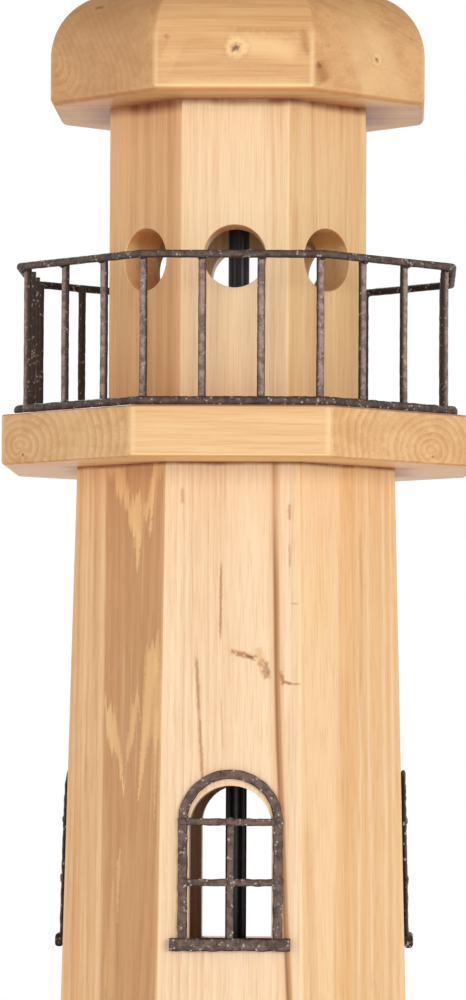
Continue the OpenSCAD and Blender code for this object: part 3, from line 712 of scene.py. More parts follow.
def threaded(radius, low, high, pitch, depth, count=64):
    """Grid of a screw thread: radius - depth * triangle(height / pitch - angle / turn)."""
    height = np.linspace(low, high, int((high - low) / pitch * 8))[:, None]
    angle = around(count)
    groove = np.abs(((height - low) / pitch - angle / TURN) % 1 - 0.5) * 2
    fade = np.clip(np.minimum(height - low, high - height) / pitch, 0, 1)
    return polar(radius - depth * groove * fade, angle, height)


def crisp(mesh, smooth_below):
    """Smooth shading, with edges sharper than the angle in degrees left crisp."""
    mesh.shade_smooth()
    mesh.set_sharp_from_angle(angle=math.radians(smooth_below))
    return mesh


def new_object(name, shape, smooth_below=35):
    """Mesh object of a shape, at the origin."""
    mesh = bpy.data.meshes.new(name)
    mesh.from_pydata((shape[0] * MM).tolist(), [], shape[1])
    return placed(name, crisp(mesh, smooth_below))


def paint(piece, material):
    """Makes a material the piece's only one."""
    piece.data.materials.clear()
    piece.data.materials.append(material)


def stand_for(piece, node, material):
    """Finishes a piece, lets it ride on the node's body and shows it in place of the node."""
    paint(piece, material)
    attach(piece, BODY[node])
    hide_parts(node)
    return piece


def dress(node, shape, material, smooth_below=35):
    """Shows a shape in place of a node."""
    return stand_for(new_object(node + "_finished", shape, smooth_below), node, material)


def cut(piece, shape):
    """Cuts a closed shape out of a piece."""
    cutter = new_object("cutter", shape)
    modifier = piece.modifiers.new("cut", "BOOLEAN")
    modifier.object = cutter
    modifier.solver = "EXACT"
    settled = bpy.data.meshes.new_from_object(piece.evaluated_get(bpy.context.evaluated_depsgraph_get()))
    piece.modifiers.clear()
    piece.data = settled
    settled.set_sharp_from_angle(angle=math.radians(CREASE))
    bpy.data.objects.remove(cutter)


# Wooden boards

PIPE_HOLE = 7.15
CORD_HEIGHT = 15
DECK_HEAD = head_of("gallery_deck")
CAP_FOOT = foot_of("cap")
TOWER_FOOT, TOWER_HEAD = foot_of("tower_stave_front"), head_of("tower_stave_front")
TOWER_FOOT_REACH = reach_of("tower_stave_front", 1, 0)
TOWER_HEAD_REACH = 102.5
LANTERN_REACH = reach_of("lantern_stave_front", 1, 0)
STEP_REACH = reach_of("base_step")


def board(node, head, foot, corner, material, recess=()):
    """Octagonal board with a bore. Arcs ease its head, its foot and its upright corners, and the recess under it, given
    by radius and depth, makes room round the pipe's end."""
    reach, tall = reach_of(node), tall_of(node)
    edge = profile(arc(reach - foot, foot, foot, -2, 0, 7),
                   arc(reach - head, tall - head, head, 0, 2, 24 if head > 10 else 7))
    bore = rounded_octagon(PIPE_HOLE, PIPE_HOLE)
    rows = [(bore, recess[1] if recess else 0)]
    if recess:
        rim = rounded_octagon(recess[0], recess[0])
        rows += [(rim, recess[1]), (rim, 0)]
    rows += [(rounded_octagon(distance, corner), height) for distance, height in edge]
    return dress(node, layers(rows + [(bore, tall)], foot_of(node)), material, CREASE)


def drill_plinth(plinth):
    """Cuts countersunk holes for the base's four screws and the bore for a cord out of the plinth."""
    sink = profile((0, -1), (5.3, -1), (5.3, 0.1), (2.75, 5.2), (2.75, 9), (0, 9))
    bore = surface(rounds(profile((0, 0), (5.4, 0), (5.4, 200), (0, 200)), 32))
    along = Matrix.Translation((0, CORD_HEIGHT, CORD_HEIGHT)) @ Matrix.Rotation(-TURN / 4, 4, "X")
    sinks = four_times(surface(rounds(sink, 32)), 80, foot_of("plinth"))
    cut(plinth, together([*sinks, moved(bore, along)]))


def on_board(node, side, across, height, inset=0):
    """A place on a board's edge, or behind it, in coordinates turned to its horizontal grain."""
    place = Matrix.Rotation(facing(side), 3, "Z") @ Vector((reach_of(node) - inset, across, height)) * MM
    return (-place.z, place.y, place.x)


def cap_mark(side, x_first, z_first, x_last, z_last, width, depth, tone):
    """A mark between two places on the cap's edge, its depth from 0 to 1."""
    ends = [on_board("cap", side, x, z) for x, z in ((x_first, z_first), (x_last, z_last))]
    return (*ends, width * MM, depth, tone)


CAP_MARKS = [
    # Painted shade along the upper part of the front-left side
    cap_mark(7, -15.0, 1238.0, 45.0, 1240.0, 56.0, 0.34, (0.56, 0.280, 0.125)),
    cap_mark(0, -46.0, 1205.0, -36.0, 1200.0, 34.0, 0.30, (0.93, 0.600, 0.290)),
    # Painted shade over the front-left side
    cap_mark(7, -20.0, 1190.0, 25.0, 1235.0, 130.0, 0.42, (0.60, 0.300, 0.135)),
    # Painted light over the front-right side
    cap_mark(1, -15.0, 1195.0, 25.0, 1215.0, 90.0, 0.46, (0.94, 0.620, 0.310)),
    cap_mark(0, -6.2, 1211.9, 41.9, 1205.5, 17.0, 0.75, (0.94, 0.600, 0.290)),
    cap_mark(0, 3.9, 1214.4, 32.4, 1209.3, 12.0, 0.35, (0.93, 0.60, 0.290)),
    cap_mark(0, -5.0, 1220.6, 45.5, 1218.8, 5.0, 0.65, (0.56, 0.280, 0.110)),
    cap_mark(0, 42.8, 1221.0, 46.5, 1203.0, 6.0, 0.80, (0.50, 0.235, 0.085)),
    cap_mark(0, -4.9, 1197.9, 35.6, 1194.4, 6.5, 0.40, (0.64, 0.335, 0.150)),
    cap_mark(0, -44.1, 1197.9, -7.4, 1199.5, 5.0, 0.38, (0.62, 0.325, 0.145)),
    cap_mark(0, -46.6, 1185.8, 47.0, 1185.8, 9.0, 0.45, (0.93, 0.61, 0.310)),
    cap_mark(0, -43.7, 1231.6, 41.8, 1231.0, 2.6, 0.40, (0.52, 0.270, 0.110)),
    cap_mark(0, -43.9, 1217.6, -42.3, 1213.8, 4.0, 0.70, (0.58, 0.220, 0.080)),
    cap_mark(1, -46.0, 1199.4, -39.0, 1187.0, 13.0, 0.85, (0.46, 0.200, 0.060)),
    cap_mark(1, -46.2, 1199.6, -43.5, 1195.4, 4.5, 0.75, BARK),
    (on_board("cap", 7, -20.5, 1242.8, 12.6), on_board("cap", 7, -12.5, 1242.4, 12.2), 3.9 * MM, 0.85,
     (0.31, 0.140, 0.065)),
]

# joints lay painted contact shade; rests lay dust on faces that look up and painted shade on faces that look down
deck_wood = wood("wood_deck", TO_END_GRAIN, (-0.957, -0.082), lean=(0.009, -0.0265), ring=4.2, contrast=0.46,
                 ring_share=(0.75, 0.80), wander=7, pale=(0.880, 0.565, 0.280), warm=(0.770, 0.450, 0.193),
                 joints=[(DECK_HEAD, 1.6)], rests=[(-1, 102, 120), (1, LANTERN_REACH - 2, LANTERN_REACH + 7)],
                 knots=[(on_board("gallery_deck", 7, -41, 952.6), 1.4),
                        (on_board("gallery_deck", 1, 29.3, 951.6), 1.0)])
cap_wood = wood("wood_cap", TO_END_GRAIN, (-1.150, -0.0500), lean=(0.500, -0.060), ring=4.4, contrast=0.40,
                ring_share=(0.55, 0.10), wander=8, pale=(0.800, 0.470, 0.210), warm=(0.665, 0.352, 0.145),
                late=(0.56, 0.29, 0.11), stripes=0.42, strokes=CAP_MARKS, rests=[(-1, 84, 108)],
                knots=[(on_board("cap", 0, 1.0, 1208.4), 3.2), (on_board("cap", 1, 7.1, 1206.1), 1.9)])
BASE_LOOK = dict(ring=4.0, contrast=0.45, wander=8, pale=(0.860, 0.585, 0.300))
step_wood = wood("wood_step", TO_END_GRAIN, (-0.055, -0.110), rests=[(1, TOWER_FOOT_REACH - 2, TOWER_FOOT_REACH + 6)],
                 **BASE_LOOK)
base_wood = wood("wood_base", TO_END_GRAIN, (-0.030, -0.110), rests=[(1, STEP_REACH - 5, STEP_REACH + 5)], **BASE_LOOK)

board("gallery_deck", 2.2, 2.6, 3, deck_wood)
board("cap", 44, 5, 3.5, cap_wood)
board("base_step", 3, 3, 3, step_wood)
drill_plinth(board("plinth", 18, 3, 5, base_wood, recess=(23, 22)))


# Staves

ARRIS = 2.2
FACE_SLOPE = (TOWER_HEAD_REACH - TOWER_FOOT_REACH) / (TOWER_HEAD - TOWER_FOOT)
TOWER_FACE = (TOWER_FOOT_REACH - FACE_SLOPE * TOWER_FOOT, FACE_SLOPE)


def read(items, key, width, kind=np.float32):
    """One property of all the items of a mesh, each of some width, as an array."""
    values = np.empty(len(items) * width, dtype=kind)
    items.foreach_get(key, values)
    return values.reshape(-1, width) if width > 1 else values


def round_hole(mesh, out, radius):
    """Rounds the rim of the hole in a stave's outer face."""
    def on_rim(edge):
        """Whether an edge lies between the outer face and the hole's wall."""
        normals = [np.array(face.normal) for face in edge.link_faces]
        inner = [normal for normal in normals if abs(normal @ out) < 0.01]
        outer = [normal for normal in normals if normal @ out > 0.999]
        return len(inner) == 1 and len(outer) == 1 and edge.calc_length() < 6 * MM
    rim = [edge for edge in mesh.edges if len(edge.link_faces) == 2 and on_rim(edge)]
    bmesh.ops.bevel(mesh, geom=rim, offset=radius * MM, segments=3, profile=0.5, affect="EDGES")


def eased_stave(node, side, foot_reach, head_reach, material, hole_edge=0.0):
    """Copy of a stave's solid with its two long outer edges rounded over, as sanding leaves them. A face point at
    distance t from where the rounding begins goes to (radius sin a, depth radius (1 - cos a)), a growing with t."""
    low, high = foot_of(node), head_of(node)
    turn = np.array(Matrix.Rotation(facing(side), 3, "Z"))
    slope = unit(np.array([high - low, 0, foot_reach - head_reach]))
    out = turn @ slope
    mesh = bmesh.new()
    mesh.from_mesh(NODES[node].data)
    bmesh.ops.remove_doubles(mesh, verts=mesh.verts, dist=0.00001)
    bmesh.ops.dissolve_limit(mesh, angle_limit=math.radians(0.4), verts=mesh.verts, edges=mesh.edges)
    if hole_edge:
        round_hole(mesh, out, hole_edge)
    half = math.tan(EIGHTH / 2)
    radius = ARRIS * MM
    span = radius * half
    corners = []
    for hand in (-1, 1):
        foot = np.array([foot_reach, hand * foot_reach * half, low])
        inward = unit(np.cross(np.array([head_reach, hand * head_reach * half, high]) - foot, slope))
        inward = inward * np.sign(-hand * inward[1])
        corners.append((turn @ foot * MM, turn @ inward))
    for foot, inward in corners:
        for share in np.linspace(0, 1, 5)[1:]:
            everything = mesh.verts[:] + mesh.edges[:] + mesh.faces[:]
            bmesh.ops.bisect_plane(mesh, geom=everything, dist=0.0000001, plane_co=foot + inward * (span * share),
                                   plane_no=inward)
    data = bpy.data.meshes.new(node + "_finished")
    mesh.to_mesh(data)
    mesh.free()
    points = read(data.vertices, "co", 3).astype(float)
    for foot, inward in corners:
        depth, inset = (points - foot) @ out, (points - foot) @ inward
        on_edge = (np.abs(depth) < 0.00002) & (inset < span) & (inset > -0.00002)
        angle = (1 - inset / span) * EIGHTH / 2
        shift = np.outer(span - radius * np.sin(angle) - inset, inward) - np.outer(radius * (1 - np.cos(angle)), out)
        points = points + np.where(on_edge[:, None], shift, 0)
    data.vertices.foreach_set("co", points.astype(np.float32).ravel())
    data.update()
    piece = placed(node + "_finished", crisp(data, CREASE))
    weights = piece.modifiers.new("flat faces", "WEIGHTED_NORMAL")
    weights.keep_sharp = True
    return stand_for(piece, node, material)


def tower_reach(height):
    """Distance of the tower's faces from the Z axis."""
    return TOWER_FACE[0] + FACE_SLOPE * height


def crack(x_first, z_first, x_last, z_last, width, depth, tone=(0.42, 0.160, 0.055)):
    """A mark between two places on a tower stave's face, its depth from 0 to 1."""
    ends = [(tower_reach(z) * MM, x * MM, z * MM) for x, z in ((x_first, z_first), (x_last, z_last))]
    return (*ends, width * MM, depth, tone)


KNOT = (0.46, 0.205, 0.065)
SUNLIT = (1.0, 0.650, 0.345)
PALE_STREAK = (0.980, 0.690, 0.420)
GOLD_STREAK = (1.000, 0.620, 0.270)
TAN_STREAK = (0.760, 0.425, 0.190)

FRONT_CRACKS = [
    crack(-6.8, 885, -7.2, 833, 2.4, 0.80),
    crack(-22.1, 825, -20.2, 786, 3.0, 0.78),
    crack(-20.3, 790, -17.4, 740, 2.8, 0.75),
    crack(-6.6, 800, -5.2, 764, 1.8, 0.30),
    crack(-1.5, 827.4, 8.5, 825.0, 4.6, 1.0, KNOT),
    crack(6.5, 825.6, 16.5, 823.0, 5.2, 1.0, KNOT),
    crack(9.0, 824.6, 14.0, 823.4, 2.6, 0.7, BARK),
    crack(15.8, 830.5, 20.6, 818.5, 7.0, 0.55, (0.70, 0.38, 0.14)),
    crack(17.6, 822.5, 22.8, 809.5, 6.0, 0.80, KNOT),
    crack(21.4, 821.5, 23.6, 811.5, 3.4, 0.60, BARK),
    crack(30.4, 815.5, 32.4, 806.0, 4.2, 1.0, KNOT),
    crack(31.4, 809.0, 37.8, 806.9, 2.8, 0.9),
    crack(36.0, 807.3, 46.5, 807.0, 2.2, 0.8),
    crack(37.0, 858, 42.6, 857.6, 1.9, 0.5),
    crack(35.9, 921, 36.1, 910, 3.2, 0.60),
    crack(36.1, 896, 36.3, 880, 2.2, 0.45),
    crack(-31.6, 931, -31.2, 920, 3.6, 0.45),
    crack(30.5, 742, 33.0, 726, 3.0, 0.5, RUST),
]
FRONT_BANDS = [
    (-32, 960, -36, 800, 5.0, 0.45, (1.0, 0.745, 0.490)),
    (-25.5, 940, -22, 820, 4.0, 0.30, (0.84, 0.54, 0.29)),
    (-7.6, 941, -7.2, 884, 1.8, 0.45, (0.76, 0.46, 0.24)),
    (33.0, 960, 36.0, 790, 6.0, 0.50, (1.0, 0.745, 0.520)),
    (36.2, 944, 36.4, 866, 1.4, 0.35, (0.72, 0.46, 0.28)),
    (21.5, 840, 23.5, 700, 4.0, 0.40, (1.0, 0.74, 0.48)),
]
LEFT_BANDS = [
    (-35.5, 960, -30.8, 796, 8.0, 0.60, SUNLIT),
    (-31.0, 790, -20.0, 600, 4.6, 0.55, SUNLIT),
    (-17.5, 960, -10.6, 600, 4.6, 0.75, SUNLIT),
    (-26.0, 760, -19.0, 600, 3.4, 0.55, TAN_STREAK),
    (-25.5, 960, -19.0, 780, 3.2, 0.50, (0.700, 0.380, 0.170)),
    (-38.0, 960, -34.0, 600, 4.6, 0.35, TAN_STREAK),
]
LEFT_FLAMES = [crack(*place, GOLD_STREAK) for place in (
    (-9.0, 958, 17.0, 904, 17, 0.72),
    (16.0, 925, 18.6, 884, 13, 0.82),
    (39.0, 950, 18.5, 900, 13, 0.68),
    (35.0, 962, 28.5, 900, 8, 0.82),
    (39.0, 774, 38.6, 838, 18, 0.55),
    (-7.0, 792, 10.4, 741, 12, 0.82),
    (20.0, 793, 10.8, 748, 9, 0.72),
    (33.6, 822, 24.4, 735, 14, 0.82),
    (39.5, 790, 39.0, 722, 6, 0.50),
    (7.0, 700, 6.6, 664, 5, 0.45),
    (0.0, 610, 2.0, 674, 12, 0.35),
)]
RIGHT_BANDS = [
    (25.0, 960, 20.0, 600, 42, 0.50, (0.840, 0.525, 0.255)),
    (-4.5, 812, -8.0, 600, 7, 0.50, (0.760, 0.440, 0.190)),
    (-23.0, 960, -36.0, 600, 34, 0.60, (0.985, 0.685, 0.395)),
    (-24.0, 915, -26.0, 840, 12, 0.35, (0.930, 0.570, 0.270)),
    (0.5, 960, -8.0, 600, 14, 0.55, (0.880, 0.510, 0.225)),
    (10.8, 905, 9.4, 792, 3.2, 0.50, (0.760, 0.410, 0.170)),
    (16.5, 960, 16.4, 600, 2.6, 0.60, PALE_STREAK),
    (10.0, 806, 3.0, 600, 2.6, 0.60, PALE_STREAK),
    (12.6, 800, 9.8, 620, 3.0, 0.40, (0.800, 0.450, 0.200)),
    (23.0, 960, 21.0, 600, 6.0, 0.35, (0.860, 0.520, 0.250)),
    (31.0, 960, 29.0, 600, 3.0, 0.55, PALE_STREAK),
    (35.2, 940, 32.6, 600, 3.2, 0.40, (0.790, 0.450, 0.205)),
    (38.2, 960, 36.4, 600, 2.6, 0.50, PALE_STREAK),
    (-38.5, 716, -35.0, 600, 8, 0.45, (0.800, 0.470, 0.200)),
]
TOWER_WOODS = [
    dict(pith=(0.030, -0.150), ring=4.2, contrast=0.24, stripes=0.26, wander=4, pale=(0.910, 0.668, 0.430),
         warm=(0.845, 0.572, 0.335), bands=FRONT_BANDS, strokes=FRONT_CRACKS, seam=(26.6, 944, 0.00855, 0.0702, 4.4)),
    dict(pith=(0.040, 0.120), ring=6.0, contrast=0.25, stripes=0.40, wander=3, pale=(0.940, 0.620, 0.330),
         warm=(0.850, 0.520, 0.245), bands=RIGHT_BANDS),
    dict(pith=(0.060, 0.060), ring=4.6, contrast=0.42, stripes=0.7),
    dict(pith=(0.070, -0.015), ring=4.8, contrast=0.42, core=22, stripes=0.6),
    dict(pith=(0.020, -0.110), ring=4.2, contrast=0.34, stripes=0.4),
    dict(pith=(0.060, 0.020), ring=5.0, contrast=0.45, stripes=0.7),
    dict(pith=(0.075, -0.030), ring=4.4, contrast=0.42, stripes=0.6),
    dict(pith=(0.088, 0.0185), ring=5.0, contrast=0.22, core=34.5, wander=2.5, pale=(0.960, 0.600, 0.310),
         warm=(0.850, 0.490, 0.235), heart=(0.705, 0.370, 0.163), bands=LEFT_BANDS, flames=LEFT_FLAMES),
]
LANTERN_WOODS = [
    dict(pith=(0.010, -0.120), ring=5.4, contrast=0.28, stripes=0.4, wander=3, pale=(0.945, 0.695, 0.430),
         warm=(0.880, 0.590, 0.330)),
    dict(pith=(0.020, 0.110), ring=6.0, contrast=0.34, stripes=0.6, wander=3, pale=(0.895, 0.600, 0.310),
         warm=(0.790, 0.490, 0.220)),
    dict(pith=(0.045, 0.040), ring=4.6, contrast=0.35),
    dict(pith=(0.050, -0.010), ring=4.6, contrast=0.40),
    dict(pith=(0.000, -0.100), ring=4.2, contrast=0.30),
    dict(pith=(0.040, 0.030), ring=4.8, contrast=0.40),
    dict(pith=(0.050, -0.030), ring=4.4, contrast=0.36),
    dict(pith=(0.020, 0.060), ring=5.8, contrast=0.30, stripes=0.5, wander=4, pale=(0.910, 0.545, 0.265),
         warm=(0.810, 0.450, 0.195)),
]

for side, name in enumerate(COMPASS):
    to_face = (0, 0, -facing(side))
    # Painted contact shade under the deck; face gives painted shade behind the tower's faces
    material = wood("wood_tower_" + name, to_face, joints=[(TOWER_HEAD, 3.0)], face=TOWER_FACE, **TOWER_WOODS[side])
    eased_stave("tower_stave_" + name, side, TOWER_FOOT_REACH, TOWER_HEAD_REACH, material)
    # Painted contact shade under the cap, wider on the front-left side, and at the deck
    joints = [(CAP_FOOT, 10.0 if name == "front_left" else 6.0), (DECK_HEAD, 1.2)]
    material = wood("wood_lantern_" + name, to_face, joints=joints, **LANTERN_WOODS[side])
    eased_stave("lantern_stave_" + name, side, LANTERN_REACH, LANTERN_REACH, material, hole_edge=0.9)


# Railing

RAIL_ROD = 5
FOOT_ROD = 6
RAIL_REACH = 139.3
POST_REACH = RAIL_REACH - RAIL_ROD
FOOT_RAIL_REACH = POST_REACH + (RAIL_ROD + FOOT_ROD) / 2
RAIL_BAYS = 3
RAIL_STEP = 2.2


def octagon_path(reach, corner, height):
    """Closed path round an octagon: straight runs, joined by arcs about the corner posts, in even steps."""
    knots = rounded_octagon(reach, corner)
    knots = np.concatenate([knots, knots[:1]])
    run = np.concatenate([[0], np.cumsum(np.linalg.norm(np.diff(knots, axis=0), axis=-1))])
    along = np.arange(0, run[-1] - RAIL_STEP / 2, RAIL_STEP)
    return np.column_stack([np.interp(along, run, knots[:, 0]), np.interp(along, run, knots[:, 1]),
                            np.full(len(along), height)])


def post_places():
    """Where the posts stand: three along each side of the octagon, the first of them at its corner."""
    half = POST_REACH * math.tan(EIGHTH / 2)
    turns = [np.array(Matrix.Rotation(facing(side), 3, "Z")) for side in range(8)]
    return [turn @ (POST_REACH, half * (2 * bay / RAIL_BAYS - 1), 0) for turn in turns for bay in range(RAIL_BAYS)]


def railing():
    """Forged railing: two rods bent round the octagon, and posts welded inside them."""
    top, foot = head_of("railing_top_rail") - RAIL_ROD / 2, DECK_HEAD + FOOT_ROD / 2
    rod, thick_rod = circle(RAIL_ROD / 2), circle(FOOT_ROD / 2)
    upper = [swept(octagon_path(RAIL_REACH, RAIL_ROD, top), rod, UP, True, 0.08, 8, 11)]
    lower = [swept(octagon_path(FOOT_RAIL_REACH, (RAIL_ROD + FOOT_ROD) / 2, foot), thick_rod, UP, True, 0.20, 6, 12)]
    posts = []
    height = np.arange(0, top - DECK_HEAD + 1.5, 2)[:, None]
    for number, place in enumerate(post_places()):
        outward = unit(place)
        sway = 0.35 * np.sin(height / (top - DECK_HEAD) * math.pi) * uneven(place[None] * 3, 100, 5)[:, None]
        path = place + (0, 0, DECK_HEAD) + height * UP + sway * outward
        posts.append(swept(path, rod, outward, False, 0.07, 7, 20 + number))
        joint = place + outward * (RAIL_ROD / 2)
        upper.append(lump(joint + (0, 0, top - 0.8), (2.85, 2.85, 2.6), 50 + number, 0.10))
        lower.append(lump(joint + (0, 0, foot + 0.6), (3.2, 3.2, 2.8), 80 + number, 0.10))
    dress("railing_top_rail", together(upper), rail_iron, 60)
    dress("railing_foot_rail", together(lower), rail_iron, 60)
    dress("railing_posts", together(posts), post_iron, 60)


# The first tone of each iron is its painted highlight, the second its own dark colour
post_iron = hammered_iron("iron_posts", (0.420, 0.290, 0.235), (0.042, 0.028, 0.023), 0.45)
rail_iron = hammered_iron("iron_rails", (0.150, 0.102, 0.084), (0.026, 0.016, 0.013), 0.75)
railing()


# Windows

WINDOW_W = 66
JAMB = 73
FRAME_BAR = 6
GLAZING_BAR = 5
FRAME_PROUD = 3
PANE = 38
SILL_PROUD = 5.5
SILL_TALL = 8
SILL_W = 76
SPRING = TOWER_HEAD - 227.5


def window(side):
    """Wrought window: an arched flat bar, two crossbars and a middle bar, welded, over a thicker sill. Its own axes
    point out of the facet, across it, and up it from where the arch springs."""
    place = (Matrix.Rotation(facing(side), 4, "Z") @ Matrix.Translation((tower_reach(SPRING), 0, SPRING))
             @ Matrix.Rotation(math.atan(FACE_SLOPE), 4, "Y"))
    mid, depth = (WINDOW_W - FRAME_BAR) / 2, FRAME_PROUD / 2
    angle = np.linspace(0, math.pi, 64)[1:-1]
    arch = np.stack([np.full(62, depth), mid * np.cos(angle), mid * np.sin(angle)], axis=-1)
    outline = np.concatenate([straight((depth, mid, -JAMB), (depth, mid, 0)), arch,
                              straight((depth, -mid, 0), (depth, -mid, -JAMB))])
    thin = bar_section(0.92 * GLAZING_BAR, 0.94 * FRAME_PROUD, 24, 2.8)
    seed = 200 + 20 * side
    bars = [swept(outline, bar_section(FRAME_BAR, FRAME_PROUD, 24, 3.2), OUT, False, 0.20, 8, seed)]
    for number, height in enumerate((0, -PANE)):
        cross = straight((depth, -mid, height), (depth, mid, height))
        bars.append(swept(cross, thin, OUT, False, 0.20, 7, seed + number + 1))
        for across in (-mid, 0, mid):
            bead = (depth + 0.5, across, height + 0.4)
            bars.append(lump(bead, (1.7, 3.2, 2.9), seed + number + 5 + int(across > 0)))
    bars.append(swept(straight((depth, 0, -JAMB), (depth, 0, 0)), thin, OUT, False, 0.16, 8, seed + 9))
    dress("window_frame_" + COMPASS[side], moved(together(bars), place), window_iron, 60)
    low = -JAMB - SILL_TALL / 2
    sill = straight((SILL_PROUD / 2, -SILL_W / 2, low), (SILL_PROUD / 2, SILL_W / 2, low))
    sill = swept(sill, bar_section(SILL_TALL, SILL_PROUD, 24, 3.4), OUT, False, 0.22, 8, seed + 12)
    dress("window_sill_" + COMPASS[side], moved(sill, place), window_iron, 60)


# Its first tone is the painted highlight, its second the iron's own dark colour
window_iron = hammered_iron("iron_windows", (0.190, 0.122, 0.094), (0.020, 0.012, 0.010), 0.75)
for side in WINDOW_SIDES:
    window(side)


# Pipe and fittings

PIPE_R = 6.85
PIPE_BORE_R = 5
NUT_W = 20
NUT_BORE = 6.9
STUD_BORE = 3.4

enamel_black = enamel("enamel_black")
zinc = satin_metal("steel_zinc", (0.58, 0.58, 0.60), (0.40, 0.39, 0.37), 0.28)
brass = satin_metal("brass_satin", (0.72, 0.50, 0.21), (0.50, 0.32, 0.13), 0.22, 12)
bright_brass = satin_metal("brass_spun", (0.78, 0.55, 0.25), (0.56, 0.37, 0.16), 0.16, 30)
aluminium = satin_metal("aluminium_drawn", (0.80, 0.80, 0.81), (0.62, 0.61, 0.60), 0.26)
black_plastic = moulded("plastic_black", (0.030, 0.026, 0.024), 0.38, 900)
rubber = moulded("rubber_feet", (0.035, 0.034, 0.033), 0.75, 1400)
fibre_paper = moulded("fibre_liner", (0.22, 0.12, 0.06), 0.8, 700)


def pipe():
    """Enamelled tube, closed at its ends round its bore."""
    tall, edge = tall_of("lamp_pipe"), 0.4
    tube = spun("lamp_pipe", (PIPE_BORE_R, 0), (PIPE_R - edge, 0), (PIPE_R, edge), (PIPE_R, tall - edge),
                (PIPE_R - edge, tall), (PIPE_BORE_R, tall))
    dress("lamp_pipe", tube, enamel_black)


def hex_nut(node, material):
    """Hexagonal nut: six flats, with both faces chamfered to a circle, round a bore."""
    angle, low, high = around(96), foot_of(node), head_of(node)
    flat = NUT_W / 2 / np.cos((angle + TURN / 12) % (TURN / 6) - TURN / 12)
    rim = NUT_W / 2 - 0.3
    drop = (flat - rim) * math.tan(TURN / 12) + 0.09
    rows = [(NUT_BORE, low), (rim, low), (flat, low + drop), (flat, high - drop), (rim, high), (NUT_BORE, high)]
    dress(node, surface(np.stack([polar(radius, angle, height) for radius, height in rows]), True), material, 30)


def washer(node, bore, material):
    """Flat ring with softened edges."""
    tall, reach = tall_of(node), reach_of(node)
    soft = 0.3 * tall
    ring = spun(node, (bore, 0), arc(reach - soft, soft, soft, -2, 0, 5), arc(reach - soft, tall - soft, soft, 0, 2, 5),
                (bore, tall))
    dress(node, ring, material)


def neck():
    """Spun brass neck: a bell over the nut, a slim tube and a spreading collar."""
    tall, reach = tall_of("neck"), reach_of("neck")
    tube, collar, room, bead = 8.65, 12.65, 13.05, 1.5
    shape = spun("neck", (room, 0), arc(reach - bead, bead, bead, -2, 1.6, 12), ogee((room + bead, 3), (tube, 26), 24),
                 arc(tube, tall - 18, 0.9, -2, 2, 9), ogee((tube, tall - 12), (collar, tall - 3), 14),
                 arc(collar - 1, tall - 1.4, 1, 0, 2, 6), (PIPE_HOLE, tall), (PIPE_HOLE, 12), (room - 1, 7))
    dress("neck", shape, bright_brass, 50)


pipe()
neck()
hex_nut("pipe_foot_nut", zinc)
hex_nut("cap_nut", brass)
washer("pipe_foot_washer", PIPE_HOLE, zinc)
washer("cap_washer", PIPE_HOLE, brass)


# Shade

SHADE_FOOT_R = 215
SHADE_HEAD_R = 165
SHADE_WALL = 1.2
SHADE_LOW, SHADE_HIGH = foot_of("shade_cloth"), head_of("shade_cloth")
TAPE_W = 11
TAPE_PROUD = 0.5
TAPE_THICK = 0.45


def shade_radius(height):
    """Radius of the shade's outer face."""
    share = (height - SHADE_LOW) / (SHADE_HIGH - SHADE_LOW)
    return SHADE_FOOT_R + (SHADE_HEAD_R - SHADE_FOOT_R) * share


def shade_piece(outline):
    """Turned piece of the shade."""
    return surface(rounds(outline, 256), ring_rows=True)


def round_map(piece):
    """UV map of a turned piece of the shade: once round across it and once up the shade."""
    mesh = piece.data
    layer = mesh.uv_layers.new(name="around")
    x, y, z = read(mesh.vertices, "co", 3)[read(mesh.loops, "vertex_index", 1, np.int32)].T
    starts, totals = (read(mesh.polygons, key, 1, np.int32) for key in ("loop_start", "loop_total"))
    across = np.arctan2(x, -y) / TURN + 0.5
    largest = np.repeat(np.maximum.reduceat(across, starts), totals)
    across = np.where(largest - across > 0.5, across + 1, across)
    up = (z - SHADE_LOW * MM) / ((SHADE_HIGH - SHADE_LOW) * MM)
    layer.data.foreach_set("uv", np.stack([across, up], axis=-1).ravel())


def ribbon(outline):
    """Closed outline of a thin strip: the line itself, and back along it one thickness to its left."""
    ahead = unit(np.gradient(outline, axis=0))
    left = np.stack([-ahead[:, 1], ahead[:, 0]], axis=-1)
    return profile(outline, (outline + left * TAPE_THICK)[::-1])


def shade():
    """Linen cone: outer and inner faces a wall apart, with a folded tape along its head and foot."""
    height = np.linspace(SHADE_LOW + 0.6, SHADE_HIGH - 0.6, 26)
    outer = np.stack([shade_radius(height) - 0.1, height], axis=-1)
    cloth = dress("shade_cloth", shade_piece(profile(outer, outer[::-1] - (0.9, 0))), linen_cloth)
    round_map(cloth)
    for end, edge, way in (("head", SHADE_HIGH, -1), ("foot", SHADE_LOW, 1)):
        height = edge + way * np.linspace(0, TAPE_W, 8)
        face = np.stack([shade_radius(height) + TAPE_PROUD, height], axis=-1)
        back = face - (SHADE_WALL + 2 * TAPE_PROUD, 0)
        fold = arc(shade_radius(edge) - SHADE_WALL / 2, edge + way * 0.9, SHADE_WALL / 2 + TAPE_PROUD, 0, -4 * way, 9)
        runs = (back[:0:-1], fold[::-1], face[1:]) if way > 0 else (face[:0:-1], fold, back[1:])
        tape = new_object("shade_tape_" + end, shade_piece(ribbon(profile(*runs))))
        paint(tape, linen_tape)
        round_map(tape)
        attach(tape, "shade")
    return cloth


linen_cloth = linen("linen_shade", (0.86, 0.80, 0.69), (0.70, 0.62, 0.50))
linen_tape = linen("linen_tape", (0.80, 0.73, 0.61), (0.66, 0.58, 0.46))
cloth = shade()


# Floor, light and background

AMBIENT = 0.46
FLOOR_R = 2200
FLOOR_FADE = 900


